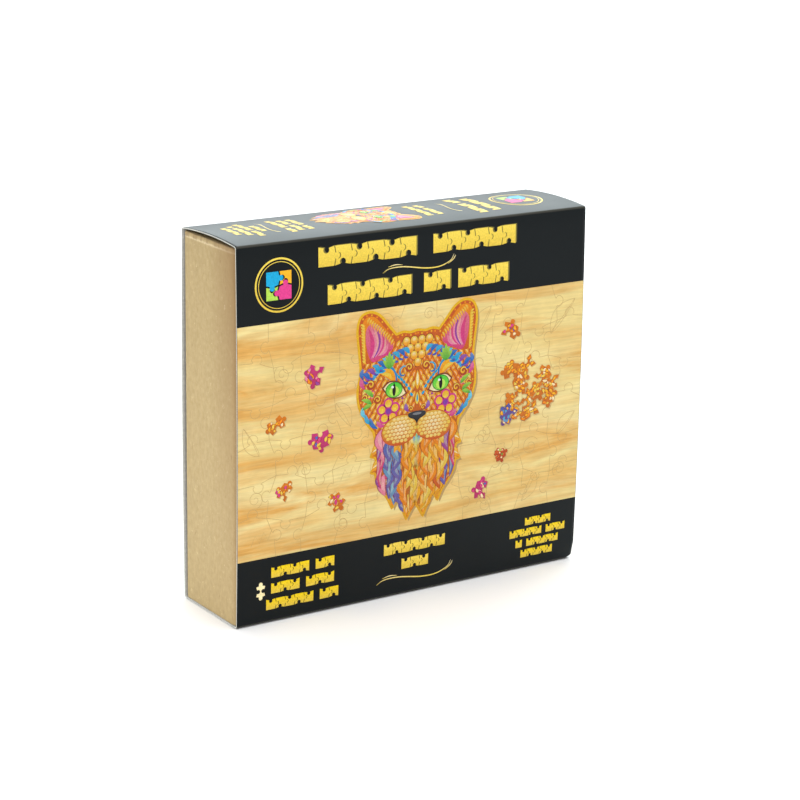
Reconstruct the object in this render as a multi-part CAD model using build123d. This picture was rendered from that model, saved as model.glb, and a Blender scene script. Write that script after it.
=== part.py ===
"""Boxed wooden jigsaw puzzle.

A printed paperboard sleeve, open at both ends, stands on its long narrow side. A kraft roll-end
tray slides through it along X. The tray's open side faces the picture, and in it lie a folded
picture leaflet and a cat-head jigsaw of 103 wooden pieces, put away as two half boards.

Frame: millimetres, +X along the sleeve, -Y the picture side, +Z up, origin at the centre of
the footprint.
"""

import os
from math import cos, hypot, pi, radians, sin

from build123d import *

# Sleeve: sizes over its four folds; the panels bow out past them.
SLEEVE_LENGTH = 190.0
SLEEVE_DEPTH = 49.0
SLEEVE_HEIGHT = 176.0
SLEEVE_BOARD = 0.5
SLEEVE_FOLD = 1.3
FACE_BOW = 1.1
TOP_BOW = 1.2
GLUE_FLAP_WIDTH = 12.0
GLUE_FLAP_INSET = 2.0
GLUE_FLAP_TAPER = 6.0
GLUE_LINE = 0.05

# Tray: corrugated board folded from one sheet.
TRAY_BOARD = 1.5
TRAY_FOLD = 2.0
END_RECESS = 0.3
FRONT_GAP = 0.7
BACK_GAP = 0.6
TOP_GAP = 0.9
BOTTOM_GAP = 0.2
FOLD_SLACK = 0.1
CORNER_TAB_LENGTH = 42.0
CORNER_TAB_TAPER = 5.0
LOCK_TAB_WIDTH = 22.0
LOCK_TAB_SPACING = 92.0
RIM_CLEARANCE = 1.0

# Leaflet: one sheet folded once.
LEAF_WIDTH = 164.0
LEAF_HEIGHT = 160.0
LEAF_PAPER = 0.15

# Jigsaw: assembled size, cut and storage.
PUZZLE_WIDTH = 170.0
PUZZLE_HEIGHT = 270.0
PUZZLE_BOARD = 4.0
PUZZLE_PIECES = 103
KERF = 0.2
ROWS = 15
COLUMNS = 10
CROSSING_DRIFT_X = 1.8
CROSSING_DRIFT_Y = 1.6
SPLIT_ROW = 7
KNOB_HEAD = 1.9
KNOB_NECK = 0.9
KNOB_LEAN = radians(32)
KNOB_OFF_CENTRE = 0.06
SMALLEST_SHARE = 0.5
OFFCUT_AREA = 20.0
STACK_GAP = 0.15
HALF_BOARD_SLACK = 8.0

# Half of the cat-head outline from the crown to the beard's tip: x, y, and how far the stretch to
# the next point bows out. The other half mirrors it.
OUTLINE = [
    (0.0, 228.0, 1.0),
    (22.0, 225.0, 0.0),
    (30.0, 226.0, -2.0),
    (55.0, 264.0, 5.0),
    (69.0, 262.0, 3.0),
    (80.0, 205.0, -1.5),
    (83.0, 178.0, 2.0),
    (85.0, 146.0, 3.0),
    (70.0, 108.0, -2.0),
    (78.0, 90.0, 2.5),
    (66.0, 76.0, -2.0),
    (71.0, 58.0, 3.0),
    (54.0, 46.0, -2.0),
    (53.0, 26.0, 3.0),
    (36.0, 32.0, -1.5),
    (30.0, 8.0, 2.5),
    (14.0, 22.0, -1.0),
    (0.0, 0.0, 0.0),
]

# How far cutting tools reach past what they cut.
REACH = 1.0

# Tray faces, worked out from the sleeve.
TRAY_X = SLEEVE_LENGTH / 2 - END_RECESS
TRAY_FRONT = -SLEEVE_DEPTH / 2 + SLEEVE_BOARD + FRONT_GAP
TRAY_BACK = SLEEVE_DEPTH / 2 - SLEEVE_BOARD - BACK_GAP
TRAY_BOTTOM = SLEEVE_BOARD + BOTTOM_GAP
TRAY_TOP = SLEEVE_HEIGHT - SLEEVE_BOARD - TOP_GAP
BASE_INSIDE = TRAY_BACK - TRAY_BOARD
FLOOR_INSIDE = TRAY_BOTTOM + TRAY_BOARD
RIM_RADIUS = 1.5 * TRAY_BOARD
STACK_BACK = BASE_INSIDE - 2 * STACK_GAP - 3 * LEAF_PAPER


def line(a, b):
    return Edge.make_line(Vector(*a), Vector(*b))


def arc(a, through, b):
    return Edge.make_three_point_arc(Vector(*a), Vector(*through), Vector(*b))


def bowed(a, b, bow):
    """An arc from a to b, bowed to the left of that direction, or a straight line."""
    if abs(bow) < 1e-6:
        return line(a, b)
    (ax, ay), (bx, by) = a, b
    length = hypot(bx - ax, by - ay)
    middle = ((ax + bx) / 2 - (by - ay) / length * bow, (ay + by) / 2 + (bx - ax) / length * bow)
    return arc(a, middle, b)


def corner(centre, radius, start, end):
    """An arc about centre between two directions, in degrees."""
    points = [
        (centre[0] + radius * cos(radians(t)), centre[1] + radius * sin(radians(t)))
        for t in (start, (start + end) / 2, end)
    ]
    return arc(*points)


def section(edges):
    return Face(Wire(edges))


def along_x(face, low, high):
    """Extrudes a Y-Z section along X."""
    return extrude(Plane.YZ.offset(low) * face, high - low, dir=(1, 0, 0))


def along_z(face, low, high):
    """Extrudes an X-Y section along Z."""
    return extrude(Plane.XY.offset(low) * face, high - low, dir=(0, 0, 1))


def box_between(low, high):
    size = [b - a for a, b in zip(low, high)]
    centre = [(a + b) / 2 for a, b in zip(low, high)]
    return Pos(*centre) * Box(*size)


# ---------------------------------------------------------------- sleeve


def sleeve_face_panel(side):
    """The front (side -1) or back (side 1) panel, between its two folds."""
    outer, inner = side * SLEEVE_DEPTH / 2, side * (SLEEVE_DEPTH / 2 - SLEEVE_BOARD)
    low, high = SLEEVE_FOLD, SLEEVE_HEIGHT - SLEEVE_FOLD
    bow = -side * FACE_BOW
    plate = section([
        bowed((outer, low), (outer, high), bow),
        line((outer, high), (inner, high)),
        bowed((inner, high), (inner, low), -bow),
        line((inner, low), (outer, low)),
    ])
    return along_x(plate, -SLEEVE_LENGTH / 2, SLEEVE_LENGTH / 2)


def sleeve_edge_panel(level, up, bow):
    """The top (up 1) or bottom (up -1) panel with the folds on both of its sides."""
    half = SLEEVE_DEPTH / 2 - SLEEVE_FOLD
    axis = level - up * SLEEVE_FOLD
    inside = level - up * SLEEVE_BOARD
    small = SLEEVE_FOLD - SLEEVE_BOARD
    plate = section([
        corner((-half, axis), SLEEVE_FOLD, 180, 180 - up * 90),
        bowed((-half, level), (half, level), up * bow),
        corner((half, axis), SLEEVE_FOLD, up * 90, 0),
        line((half + SLEEVE_FOLD, axis), (half + small, axis)),
        corner((half, axis), small, 0, up * 90),
        bowed((half, inside), (-half, inside), -up * bow),
        corner((-half, axis), small, 180 - up * 90, 180),
        line((-half - small, axis), (-half - SLEEVE_FOLD, axis)),
    ])
    return along_x(plate, -SLEEVE_LENGTH / 2, SLEEVE_LENGTH / 2)


def sleeve_glue_flap():
    """The flap that closes the tube, glued inside the back panel along the bottom fold."""
    outer = SLEEVE_DEPTH / 2 - SLEEVE_BOARD - GLUE_LINE
    inner = outer - SLEEVE_BOARD + GLUE_LINE
    low, high = SLEEVE_FOLD, SLEEVE_HEIGHT - SLEEVE_FOLD
    strip = section([
        bowed((outer, low), (outer, high), -FACE_BOW),
        line((outer, high), (inner, high)),
        bowed((inner, high), (inner, low), FACE_BOW),
        line((inner, low), (outer, low)),
    ])
    half = SLEEVE_LENGTH / 2 - GLUE_FLAP_INSET
    top = low + GLUE_FLAP_WIDTH
    shape = Plane.XZ * Polygon(
        (-half, low),
        (half, low),
        (half - GLUE_FLAP_TAPER, top),
        (-half + GLUE_FLAP_TAPER, top),
        align=None,
    )
    return along_x(strip, -half, half) & extrude(shape, SLEEVE_DEPTH, both=True)


# ---------------------------------------------------------------- tray


def end_wall_section():
    """The left end wall from above: base fold, outer wall, rolled rim and inner wall."""
    outside = -TRAY_X
    fold_axis = (outside + TRAY_FOLD, TRAY_BACK - TRAY_FOLD)
    rim_axis = (outside + RIM_RADIUS, TRAY_FRONT + RIM_RADIUS)
    hollow = RIM_RADIUS - TRAY_BOARD
    foot = BASE_INSIDE - FOLD_SLACK
    inner_far = outside + 2 * RIM_RADIUS
    inner_near = inner_far - TRAY_BOARD
    return section([
        corner(fold_axis, TRAY_FOLD, 90, 180),
        line((outside, fold_axis[1]), (outside, rim_axis[1])),
        corner(rim_axis, RIM_RADIUS, 180, 360),
        line((inner_far, rim_axis[1]), (inner_far, foot)),
        line((inner_far, foot), (inner_near, foot)),
        line((inner_near, foot), (inner_near, rim_axis[1])),
        corner(rim_axis, hollow, 360, 180),
        line((outside + TRAY_BOARD, rim_axis[1]), (outside + TRAY_BOARD, fold_axis[1])),
        corner(fold_axis, TRAY_FOLD - TRAY_BOARD, 180, 90),
        line((fold_axis[0], BASE_INSIDE), (fold_axis[0], TRAY_BACK)),
    ])


def lock_tab_places():
    middle = (TRAY_BOTTOM + TRAY_TOP) / 2
    return [middle - LOCK_TAB_SPACING / 2, middle + LOCK_TAB_SPACING / 2]


def lock_tabs(slack):
    """The inner wall's two feet, or with slack the slots in the base that take them."""
    inner_far = -TRAY_X + 2 * RIM_RADIUS
    return [
        box_between(
            (inner_far - TRAY_BOARD - slack, BASE_INSIDE - FOLD_SLACK, z - LOCK_TAB_WIDTH / 2 - slack),
            (inner_far + slack, TRAY_BACK, z + LOCK_TAB_WIDTH / 2 + slack),
        )
        for z in lock_tab_places()
    ]


def left_end_wall():
    """The outer wall takes the tray's whole height; what rolls over it is narrower."""
    profile = end_wall_section()
    low, high = TRAY_BOTTOM, TRAY_TOP
    rolled = along_z(profile, low + TRAY_FOLD, high - TRAY_FOLD)
    outer_board = box_between(
        (-TRAY_X - REACH, TRAY_FRONT - REACH, low), (-TRAY_X + TRAY_BOARD, TRAY_BACK + REACH, high)
    )
    outer = along_z(profile, low, high) & outer_board
    return rolled + outer + lock_tabs(0)


def long_wall(level, up):
    """The upper (up 1) or lower (up -1) wall with its fold to the base."""
    fold_axis = (TRAY_BACK - TRAY_FOLD, level - up * TRAY_FOLD)
    rim = TRAY_FRONT + TRAY_BOARD / 2
    inside = level - up * TRAY_BOARD
    plate = section([
        corner(fold_axis, TRAY_FOLD, 0, up * 90),
        line((fold_axis[0], level), (rim, level)),
        line((rim, level), (rim, inside)),
        line((rim, inside), (fold_axis[0], inside)),
        corner(fold_axis, TRAY_FOLD - TRAY_BOARD, up * 90, 0),
        line((BASE_INSIDE, fold_axis[1]), (TRAY_BACK, fold_axis[1])),
    ])
    half = TRAY_X - TRAY_BOARD - FOLD_SLACK
    wall = along_x(plate, -half, half)
    # Near its ends the wall stops short of the base fold of the end walls.
    for side in (-1, 1):
        near, far = sorted((side * (TRAY_X - TRAY_FOLD - FOLD_SLACK), side * TRAY_X))
        depth = sorted((level + up * REACH, level - up * (TRAY_FOLD + REACH)))
        wall -= box_between((near, TRAY_BACK - TRAY_FOLD, depth[0]), (far, TRAY_BACK + REACH, depth[1]))
    return wall


def tray_base():
    half = TRAY_X - TRAY_FOLD
    panel = box_between(
        (-half, BASE_INSIDE, TRAY_BOTTOM + TRAY_FOLD), (half, TRAY_BACK, TRAY_TOP - TRAY_FOLD)
    )
    slots = lock_tabs(FOLD_SLACK)
    return panel - slots - [mirror(s, Plane.YZ) for s in slots]


def left_corner_tab(level, up):
    """The end of a long wall, folded in between the two boards of the left end wall."""
    root = level - up * (TRAY_BOARD + FOLD_SLACK)
    tip = root - up * CORNER_TAB_LENGTH
    front = TRAY_FRONT + RIM_RADIUS + RIM_CLEARANCE
    back = BASE_INSIDE - TRAY_FOLD
    outline = [
        (front, root),
        (back, root),
        (back - CORNER_TAB_TAPER, tip),
        (front + CORNER_TAB_TAPER, tip),
    ]
    tab = section([line(p, q) for p, q in zip(outline, outline[1:] + outline[:1])])
    outer = -TRAY_X + TRAY_BOARD
    return along_x(tab, outer + FOLD_SLACK / 2, outer + TRAY_BOARD - FOLD_SLACK / 2)


# ---------------------------------------------------------------- leaflet


def picture_leaflet():
    """Two leaves and the fold between them, seen from above, standing on the lower wall."""
    back = BASE_INSIDE - STACK_GAP
    half = LEAF_WIDTH / 2
    outer = 1.5 * LEAF_PAPER
    axis = (-half + outer, back - outer)
    sheet = section([
        line((half, back), (axis[0], back)),
        corner(axis, outer, 90, 270),
        line((axis[0], back - 2 * outer), (half, back - 2 * outer)),
        line((half, back - 2 * outer), (half, back - 2 * outer + LEAF_PAPER)),
        line((half, back - 2 * outer + LEAF_PAPER), (axis[0], back - 2 * outer + LEAF_PAPER)),
        corner(axis, outer - LEAF_PAPER, 270, 90),
        line((axis[0], back - LEAF_PAPER), (half, back - LEAF_PAPER)),
        line((half, back - LEAF_PAPER), (half, back)),
    ])
    return along_z(sheet, FLOOR_INSIDE + STACK_GAP, FLOOR_INSIDE + STACK_GAP + LEAF_HEIGHT)


# ---------------------------------------------------------------- jigsaw


def outline_stretches():
    """The whole outline as (start, end, bow to the left), clockwise from the crown."""
    right = [(a[:2], b[:2], a[2]) for a, b in zip(OUTLINE, OUTLINE[1:])]
    left = [((-b[0], b[1]), (-a[0], a[1]), bow) for a, b, bow in reversed(right)]
    return right + left


def puzzle_outline():
    return section([bowed(a, b, bow) for a, b, bow in outline_stretches()])


def inside_outline(x, y):
    """Even-odd test against the outline's straight chords."""
    inside = False
    for (ax, ay), (bx, by), _ in outline_stretches():
        if (ay > y) != (by > y) and x < ax + (y - ay) / (by - ay) * (bx - ax):
            inside = not inside
    return inside


def grid_node(row, column):
    """Where cut lines cross, drifting a little from an even grid."""
    x = PUZZLE_WIDTH * (column / COLUMNS - 0.5)
    y = PUZZLE_HEIGHT * row / ROWS
    x += CROSSING_DRIFT_X * sin(1.7 * row + 2.3 * column)
    y += CROSSING_DRIFT_Y * cos(1.3 * column - 0.9 * row)
    return (x, y)


def cell_share(row, column):
    """How much of a grid cell lies inside the outline, from 0 to 1."""
    steps = [0.1, 0.3, 0.5, 0.7, 0.9]
    (ax, ay), (bx, by) = grid_node(row, column), grid_node(row + 1, column + 1)
    found = [inside_outline(ax + (bx - ax) * u, ay + (by - ay) * v) for u in steps for v in steps]
    return sum(found) / len(found)


def knob_cut(a, b, side):
    """A saw cut of KERF width from a to b with a round knob to one side of it."""
    (ax, ay), (bx, by) = a, b
    length = hypot(bx - ax, by - ay)
    ux, uy = (bx - ax) / length, (by - ay) / length
    half = KERF / 2
    reach = (KNOB_HEAD + KNOB_NECK) * cos(KNOB_LEAN)
    rise = KNOB_NECK + (KNOB_HEAD + KNOB_NECK) * sin(KNOB_LEAN)
    middle = length * (0.5 + KNOB_OFF_CENTRE * side)

    def place(s, t):
        return (ax + ux * s - uy * t * side, ay + uy * s + ux * t * side)

    def rail(offset):
        """The cut's edge at an offset from its centre line, from a to b."""
        neck, head = KNOB_NECK - offset, KNOB_HEAD + offset
        turn = pi / 2 + KNOB_LEAN
        edges = []
        start = place(-half, offset)
        for sign in (-1, 1):
            axis = (middle + sign * reach, KNOB_NECK)
            angles = [-pi / 2 - sign * turn * k for k in (0, 0.5, 1)]
            turned = [place(axis[0] + neck * cos(t), axis[1] + neck * sin(t)) for t in angles]
            if sign < 0:
                top = place(middle, rise + head)
                joint = turned[2]
                edges += [line(start, turned[0]), arc(turned[0], turned[1], joint)]
            else:
                edges += [arc(joint, top, turned[2]), arc(turned[2], turned[1], turned[0])]
                edges.append(line(turned[0], place(length + half, offset)))
        return edges

    upper, lower = rail(half), rail(-half)
    ends = [
        line(place(-half, half), place(-half, -half)),
        line(place(length + half, half), place(length + half, -half)),
    ]
    return Face(Wire(upper + lower + ends))


def inner_neighbour(share, cell):
    """The neighbour that a cell mostly off the board stays joined to."""
    row, column = cell
    beside = [(row, column - 1), (row, column + 1), (row - 1, column), (row + 1, column)]
    return max((c for c in beside if c in share), key=share.get)


def cut_lines():
    """Every cut of the network, except round cells that would be slivers."""
    share = {(r, c): cell_share(r, c) for r in range(ROWS) for c in range(COLUMNS)}
    joined = set()
    for cell in share:
        if share[cell] < SMALLEST_SHARE:
            joined.add(frozenset((cell, inner_neighbour(share, cell))))
    cuts = []
    for r, c in share:
        if c > 0 and frozenset(((r, c - 1), (r, c))) not in joined:
            cuts.append(knob_cut(grid_node(r, c), grid_node(r + 1, c), (-1) ** (r + c)))
        if r > 0 and frozenset(((r - 1, c), (r, c))) not in joined:
            cuts.append(knob_cut(grid_node(r, c), grid_node(r, c + 1), (-1) ** (r // 2 + c)))
    return cuts


def puzzle_faces():
    """The flat shapes of all pieces, where they lie in the finished picture, without offcuts."""
    cut_board = puzzle_outline() - cut_lines()
    return [face for face in cut_board.faces() if face.area > OFFCUT_AREA]


def piece_row(face):
    return min(ROWS - 1, int(face.center().Y / PUZZLE_HEIGHT * ROWS))


def stacked_piece(face):
    """A piece where it is stored: the crown half in front, the beard half behind it."""
    in_front = piece_row(face) >= SPLIT_ROW
    bottom = FLOOR_INSIDE + STACK_GAP
    if in_front:
        bottom -= PUZZLE_HEIGHT * SPLIT_ROW / ROWS - HALF_BOARD_SLACK
    back = STACK_BACK - (PUZZLE_BOARD + STACK_GAP if in_front else 0)
    return extrude(Plane.XZ.offset(-back) * Pos(0, bottom) * face, PUZZLE_BOARD, dir=(0, -1, 0))


def puzzle_groups():
    """The stored pieces of each row, left and right of the middle, by node name."""
    groups = {}
    for face in puzzle_faces():
        side = "left" if face.center().X < 0 else "right"
        name = f"pieces_row_{piece_row(face) + 1:02d}_{side}"
        groups.setdefault(name, []).append(stacked_piece(face))
    return groups


# ---------------------------------------------------------------- assembly


def tray_nodes():
    """The tray's panels, each long or end wall with its folds."""
    left_wall = left_end_wall()
    nodes = {
        "tray_base": tray_base(),
        "tray_top_wall": long_wall(TRAY_TOP, 1),
        "tray_bottom_wall": long_wall(TRAY_BOTTOM, -1),
        "tray_left_end_wall": left_wall,
        "tray_right_end_wall": mirror(left_wall, Plane.YZ),
    }
    for place, level, up in (("upper", TRAY_TOP, 1), ("lower", TRAY_BOTTOM, -1)):
        tab = left_corner_tab(level, up)
        nodes[f"{place}_left_corner_tab"] = tab
        nodes[f"{place}_right_corner_tab"] = mirror(tab, Plane.YZ)
    return nodes


def main():
    nodes = {
        "sleeve_front_panel": sleeve_face_panel(-1),
        "sleeve_back_panel": sleeve_face_panel(1),
        "sleeve_top_panel": sleeve_edge_panel(SLEEVE_HEIGHT, 1, TOP_BOW),
        "sleeve_bottom_panel": sleeve_edge_panel(0, -1, 0),
        "sleeve_glue_flap": sleeve_glue_flap(),
        "picture_leaflet": picture_leaflet(),
    }
    nodes.update(tray_nodes())
    groups = puzzle_groups()
    count = sum(len(pieces) for pieces in groups.values())
    assert count == PUZZLE_PIECES, f"{count} pieces, not {PUZZLE_PIECES}"
    nodes.update({name: Compound(children=pieces) for name, pieces in groups.items()})
    os.makedirs("parts", exist_ok=True)
    for name, shape in nodes.items():
        export_step(shape, f"parts/{name}.step")


if __name__ == "__main__":
    main()
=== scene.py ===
"""Boxed wooden jigsaw puzzle: printed sleeve, kraft tray, leaflet and cut wooden boards."""
import random
from math import cos, hypot, pi, radians, sin

import bmesh
import bpy
from mathutils import Matrix, Vector
from mathutils.geometry import tessellate_polygon


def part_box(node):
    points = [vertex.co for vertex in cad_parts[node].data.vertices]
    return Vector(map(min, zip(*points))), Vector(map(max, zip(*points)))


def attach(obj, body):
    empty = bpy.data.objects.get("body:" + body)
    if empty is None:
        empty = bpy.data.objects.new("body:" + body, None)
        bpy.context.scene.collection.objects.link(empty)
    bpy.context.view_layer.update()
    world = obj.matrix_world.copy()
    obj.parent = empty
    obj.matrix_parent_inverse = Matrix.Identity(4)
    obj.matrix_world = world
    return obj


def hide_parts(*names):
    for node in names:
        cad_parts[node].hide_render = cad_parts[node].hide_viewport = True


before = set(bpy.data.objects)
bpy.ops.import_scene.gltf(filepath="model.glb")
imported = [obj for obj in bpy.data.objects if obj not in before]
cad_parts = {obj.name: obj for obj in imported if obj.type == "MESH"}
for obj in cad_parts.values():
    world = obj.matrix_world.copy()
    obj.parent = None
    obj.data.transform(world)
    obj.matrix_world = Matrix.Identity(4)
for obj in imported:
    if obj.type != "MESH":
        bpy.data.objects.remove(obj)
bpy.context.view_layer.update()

# Lengths are in metres unless a comment says otherwise.
MM = 0.001
INK_STEP = 0.00002
SLEEVE_BOARD = 0.0005
TRAY_BOARD = 0.0015
FILM_SPECULAR = 0.13
FILM_ROUGHNESS = 0.36

# The frame's own sizes.
FRONT_LOW, FRONT_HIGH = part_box("sleeve_front_panel")
HALF_LENGTH = FRONT_HIGH[0]
HALF_DEPTH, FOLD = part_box("sleeve_bottom_panel")[1][1:]
HEIGHT = FRONT_HIGH[2] + FOLD
FACE_BOW = -FRONT_LOW[1] - HALF_DEPTH
TOP_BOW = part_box("sleeve_top_panel")[1][2] - HEIGHT
LEAF_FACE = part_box("picture_leaflet")[0][1]

# The print, in millimetres: the plank's lower and upper edge, half the picture side's width, and
# the edges too short to keep.
PLANK_LOW = 31.5
PLANK_HIGH = 140.0
SIDE = HALF_LENGTH / MM
SLIVER = 0.0005

BLACK = (0.003, 0.0048, 0.0056)
GOLD = (0.86, 0.64, 0.09)
GOLD_DEEP = (0.74, 0.52, 0.06)
GOLD_SHADE = (0.17, 0.14, 0.035)
CREAM = (0.93, 0.80, 0.45)
ORANGE = (0.88, 0.28, 0.012)
RUST = (0.62, 0.11, 0.02)
AMBER = (0.90, 0.44, 0.02)
PINK = (0.70, 0.05, 0.25)
ROSE = (0.85, 0.26, 0.42)
PURPLE = (0.25, 0.05, 0.38)
BLUE = (0.0, 0.13, 0.50)
CYAN = (0.01, 0.36, 0.64)
GREEN = (0.06, 0.38, 0.05)
LIME = (0.42, 0.65, 0.08)
DARK = (0.015, 0.012, 0.012)
MAROON = (0.24, 0.025, 0.02)
WHITE = (0.9, 0.9, 0.88)
CUT_LINE = (0.50, 0.32, 0.12)
CAST_SHADE = (0.55, 0.36, 0.14)
SKY = (0.1, 0.55, 0.75)
IRIS_RIM = (0.02, 0.22, 0.03)
IRIS = (0.06, 0.62, 0.05)
HONEY = ((0.88, 0.50, 0.02), (0.80, 0.40, 0.02))
TEXT_GOLD = (0.88, 0.62, 0.002)


# ---------------------------------------------------------------- curves of the panels


def bow(distance, span, rise):
    """How far a panel stands out at a distance from its middle."""
    half = span / 2
    radius = (half * half + rise * rise) / (2 * rise)
    reach = min(abs(distance), half)
    return (radius * radius - reach * reach) ** 0.5 - (radius - rise)


def face_out(z):
    """Distance of the front or back panel's printed side from the middle plane."""
    return HALF_DEPTH + bow(z - HEIGHT / 2, HEIGHT - 2 * FOLD, FACE_BOW)


def top_out(y):
    return HEIGHT + bow(y, 2 * (HALF_DEPTH - FOLD), TOP_BOW)


def on_front(u, v, lift):
    return Vector((u * MM, -face_out(v * MM) - lift, v * MM))


def on_back(u, v, lift):
    return Vector((-u * MM, face_out(v * MM) + lift, v * MM))


def on_top(u, v, lift):
    """The top print reads with its upper edge towards +X."""
    return Vector((v * MM, -u * MM, top_out(u * MM) + lift))


def on_bottom(u, v, lift):
    return Vector((v * MM, u * MM, -lift))


def on_leaflet(u, v, lift):
    return Vector((u * MM, LEAF_FACE - lift, v * MM))


# ---------------------------------------------------------------- flat shapes


def mix(a, b, t):
    return tuple(p + (q - p) * t for p, q in zip(a, b))


def ellipse(cx, cy, rx, ry, turn=0.0, count=20):
    points = []
    for i in range(count):
        t = 2 * pi * i / count
        x, y = rx * cos(t), ry * sin(t)
        points.append((cx + x * cos(turn) - y * sin(turn), cy + x * sin(turn) + y * cos(turn)))
    return points


def petal(base, tip, width, bend=0.0, count=9):
    """A leaf from base to tip, its spine bent sideways by bend times its length."""
    (ax, ay), (bx, by) = base, tip
    dx, dy = bx - ax, by - ay
    length = hypot(dx, dy)
    left, right = [], []
    for i in range(count):
        t = i / (count - 1)
        sway = bend * sin(pi * t)
        x, y = ax + dx * t - dy * sway, ay + dy * t + dx * sway
        half = width / 2 * sin(pi * t ** 0.85) ** 0.8 if 0 < i < count - 1 else 0
        nx, ny = -dy / length * half, dx / length * half
        left.append((x + nx, y + ny))
        if half:
            right.append((x - nx, y - ny))
    return left + right[::-1]


def smooth(points, steps=6):
    """A closed curve through the points. A point with a third value is a sharp corner."""
    out = []
    n = len(points)
    for i in range(n):
        p0, p1, p2, p3 = (points[(i + k) % n] for k in (-1, 0, 1, 2))
        if len(p1) > 2:
            p0 = p1
        if len(p2) > 2:
            p3 = p2
        for s in range(steps):
            t = s / steps
            a = -0.5 * t ** 3 + t * t - 0.5 * t
            b = 1.5 * t ** 3 - 2.5 * t * t + 1
            c = -1.5 * t ** 3 + 2 * t * t + 0.5 * t
            d = 0.5 * t ** 3 - 0.5 * t * t
            out.append(tuple(a * p0[k] + b * p1[k] + c * p2[k] + d * p3[k] for k in (0, 1)))
    return out


def open_curve(points, steps=8):
    """A smooth open line through the points."""
    first = (2 * points[0][0] - points[1][0], 2 * points[0][1] - points[1][1])
    last = (2 * points[-1][0] - points[-2][0], 2 * points[-1][1] - points[-2][1])
    closed = smooth([first] + list(points) + [last], steps)
    return closed[steps:steps * len(points) + 1]


def ribbon(points, width, taper=0.0):
    """A line of some width as one outline, thinner towards its ends by taper."""
    left, right = [], []
    last = len(points) - 1
    for i, (x, y) in enumerate(points):
        ax, ay = points[max(i - 1, 0)]
        bx, by = points[min(i + 1, last)]
        length = hypot(bx - ax, by - ay) or 1
        half = width / 2 * (1 - taper * abs(2 * i / last - 1) ** 2)
        nx, ny = -(by - ay) / length * half, (bx - ax) / length * half
        left.append((x + nx, y + ny))
        right.append((x - nx, y - ny))
    return left + right[::-1]


KNOB_POINTS = 11
KNOB_ARC = 250


def knob_side(a, b, way, size):
    """The points from a to b along one side of a jigsaw piece, with a knob to the given side."""
    (ax, ay), (bx, by) = a, b
    length = hypot(bx - ax, by - ay)
    ux, uy = (bx - ax) / length, (by - ay) / length
    if not way:
        return [a]
    points = [a]
    head = size * 0.5
    neck = size * 0.3
    for i in range(KNOB_POINTS):
        t = radians(-KNOB_ARC / 2 + KNOB_ARC * i / (KNOB_POINTS - 1))
        along = length / 2 + head * sin(t)
        out = (neck + head * (0.75 + cos(t)) - head * 0.35) * way
        points.append((ax + ux * along - uy * out, ay + uy * along + ux * out))
    return points


def tile(x, y, width, height, sides, knob):
    """A jigsaw tile; sides says for bottom, right, top and left: 1 knob out, -1 socket, 0 plain."""
    corners = [(x, y), (x + width, y), (x + width, y + height), (x, y + height)]
    points = []
    for i in range(4):
        points += knob_side(corners[i], corners[(i + 1) % 4], -sides[i], knob)
    return points


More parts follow.
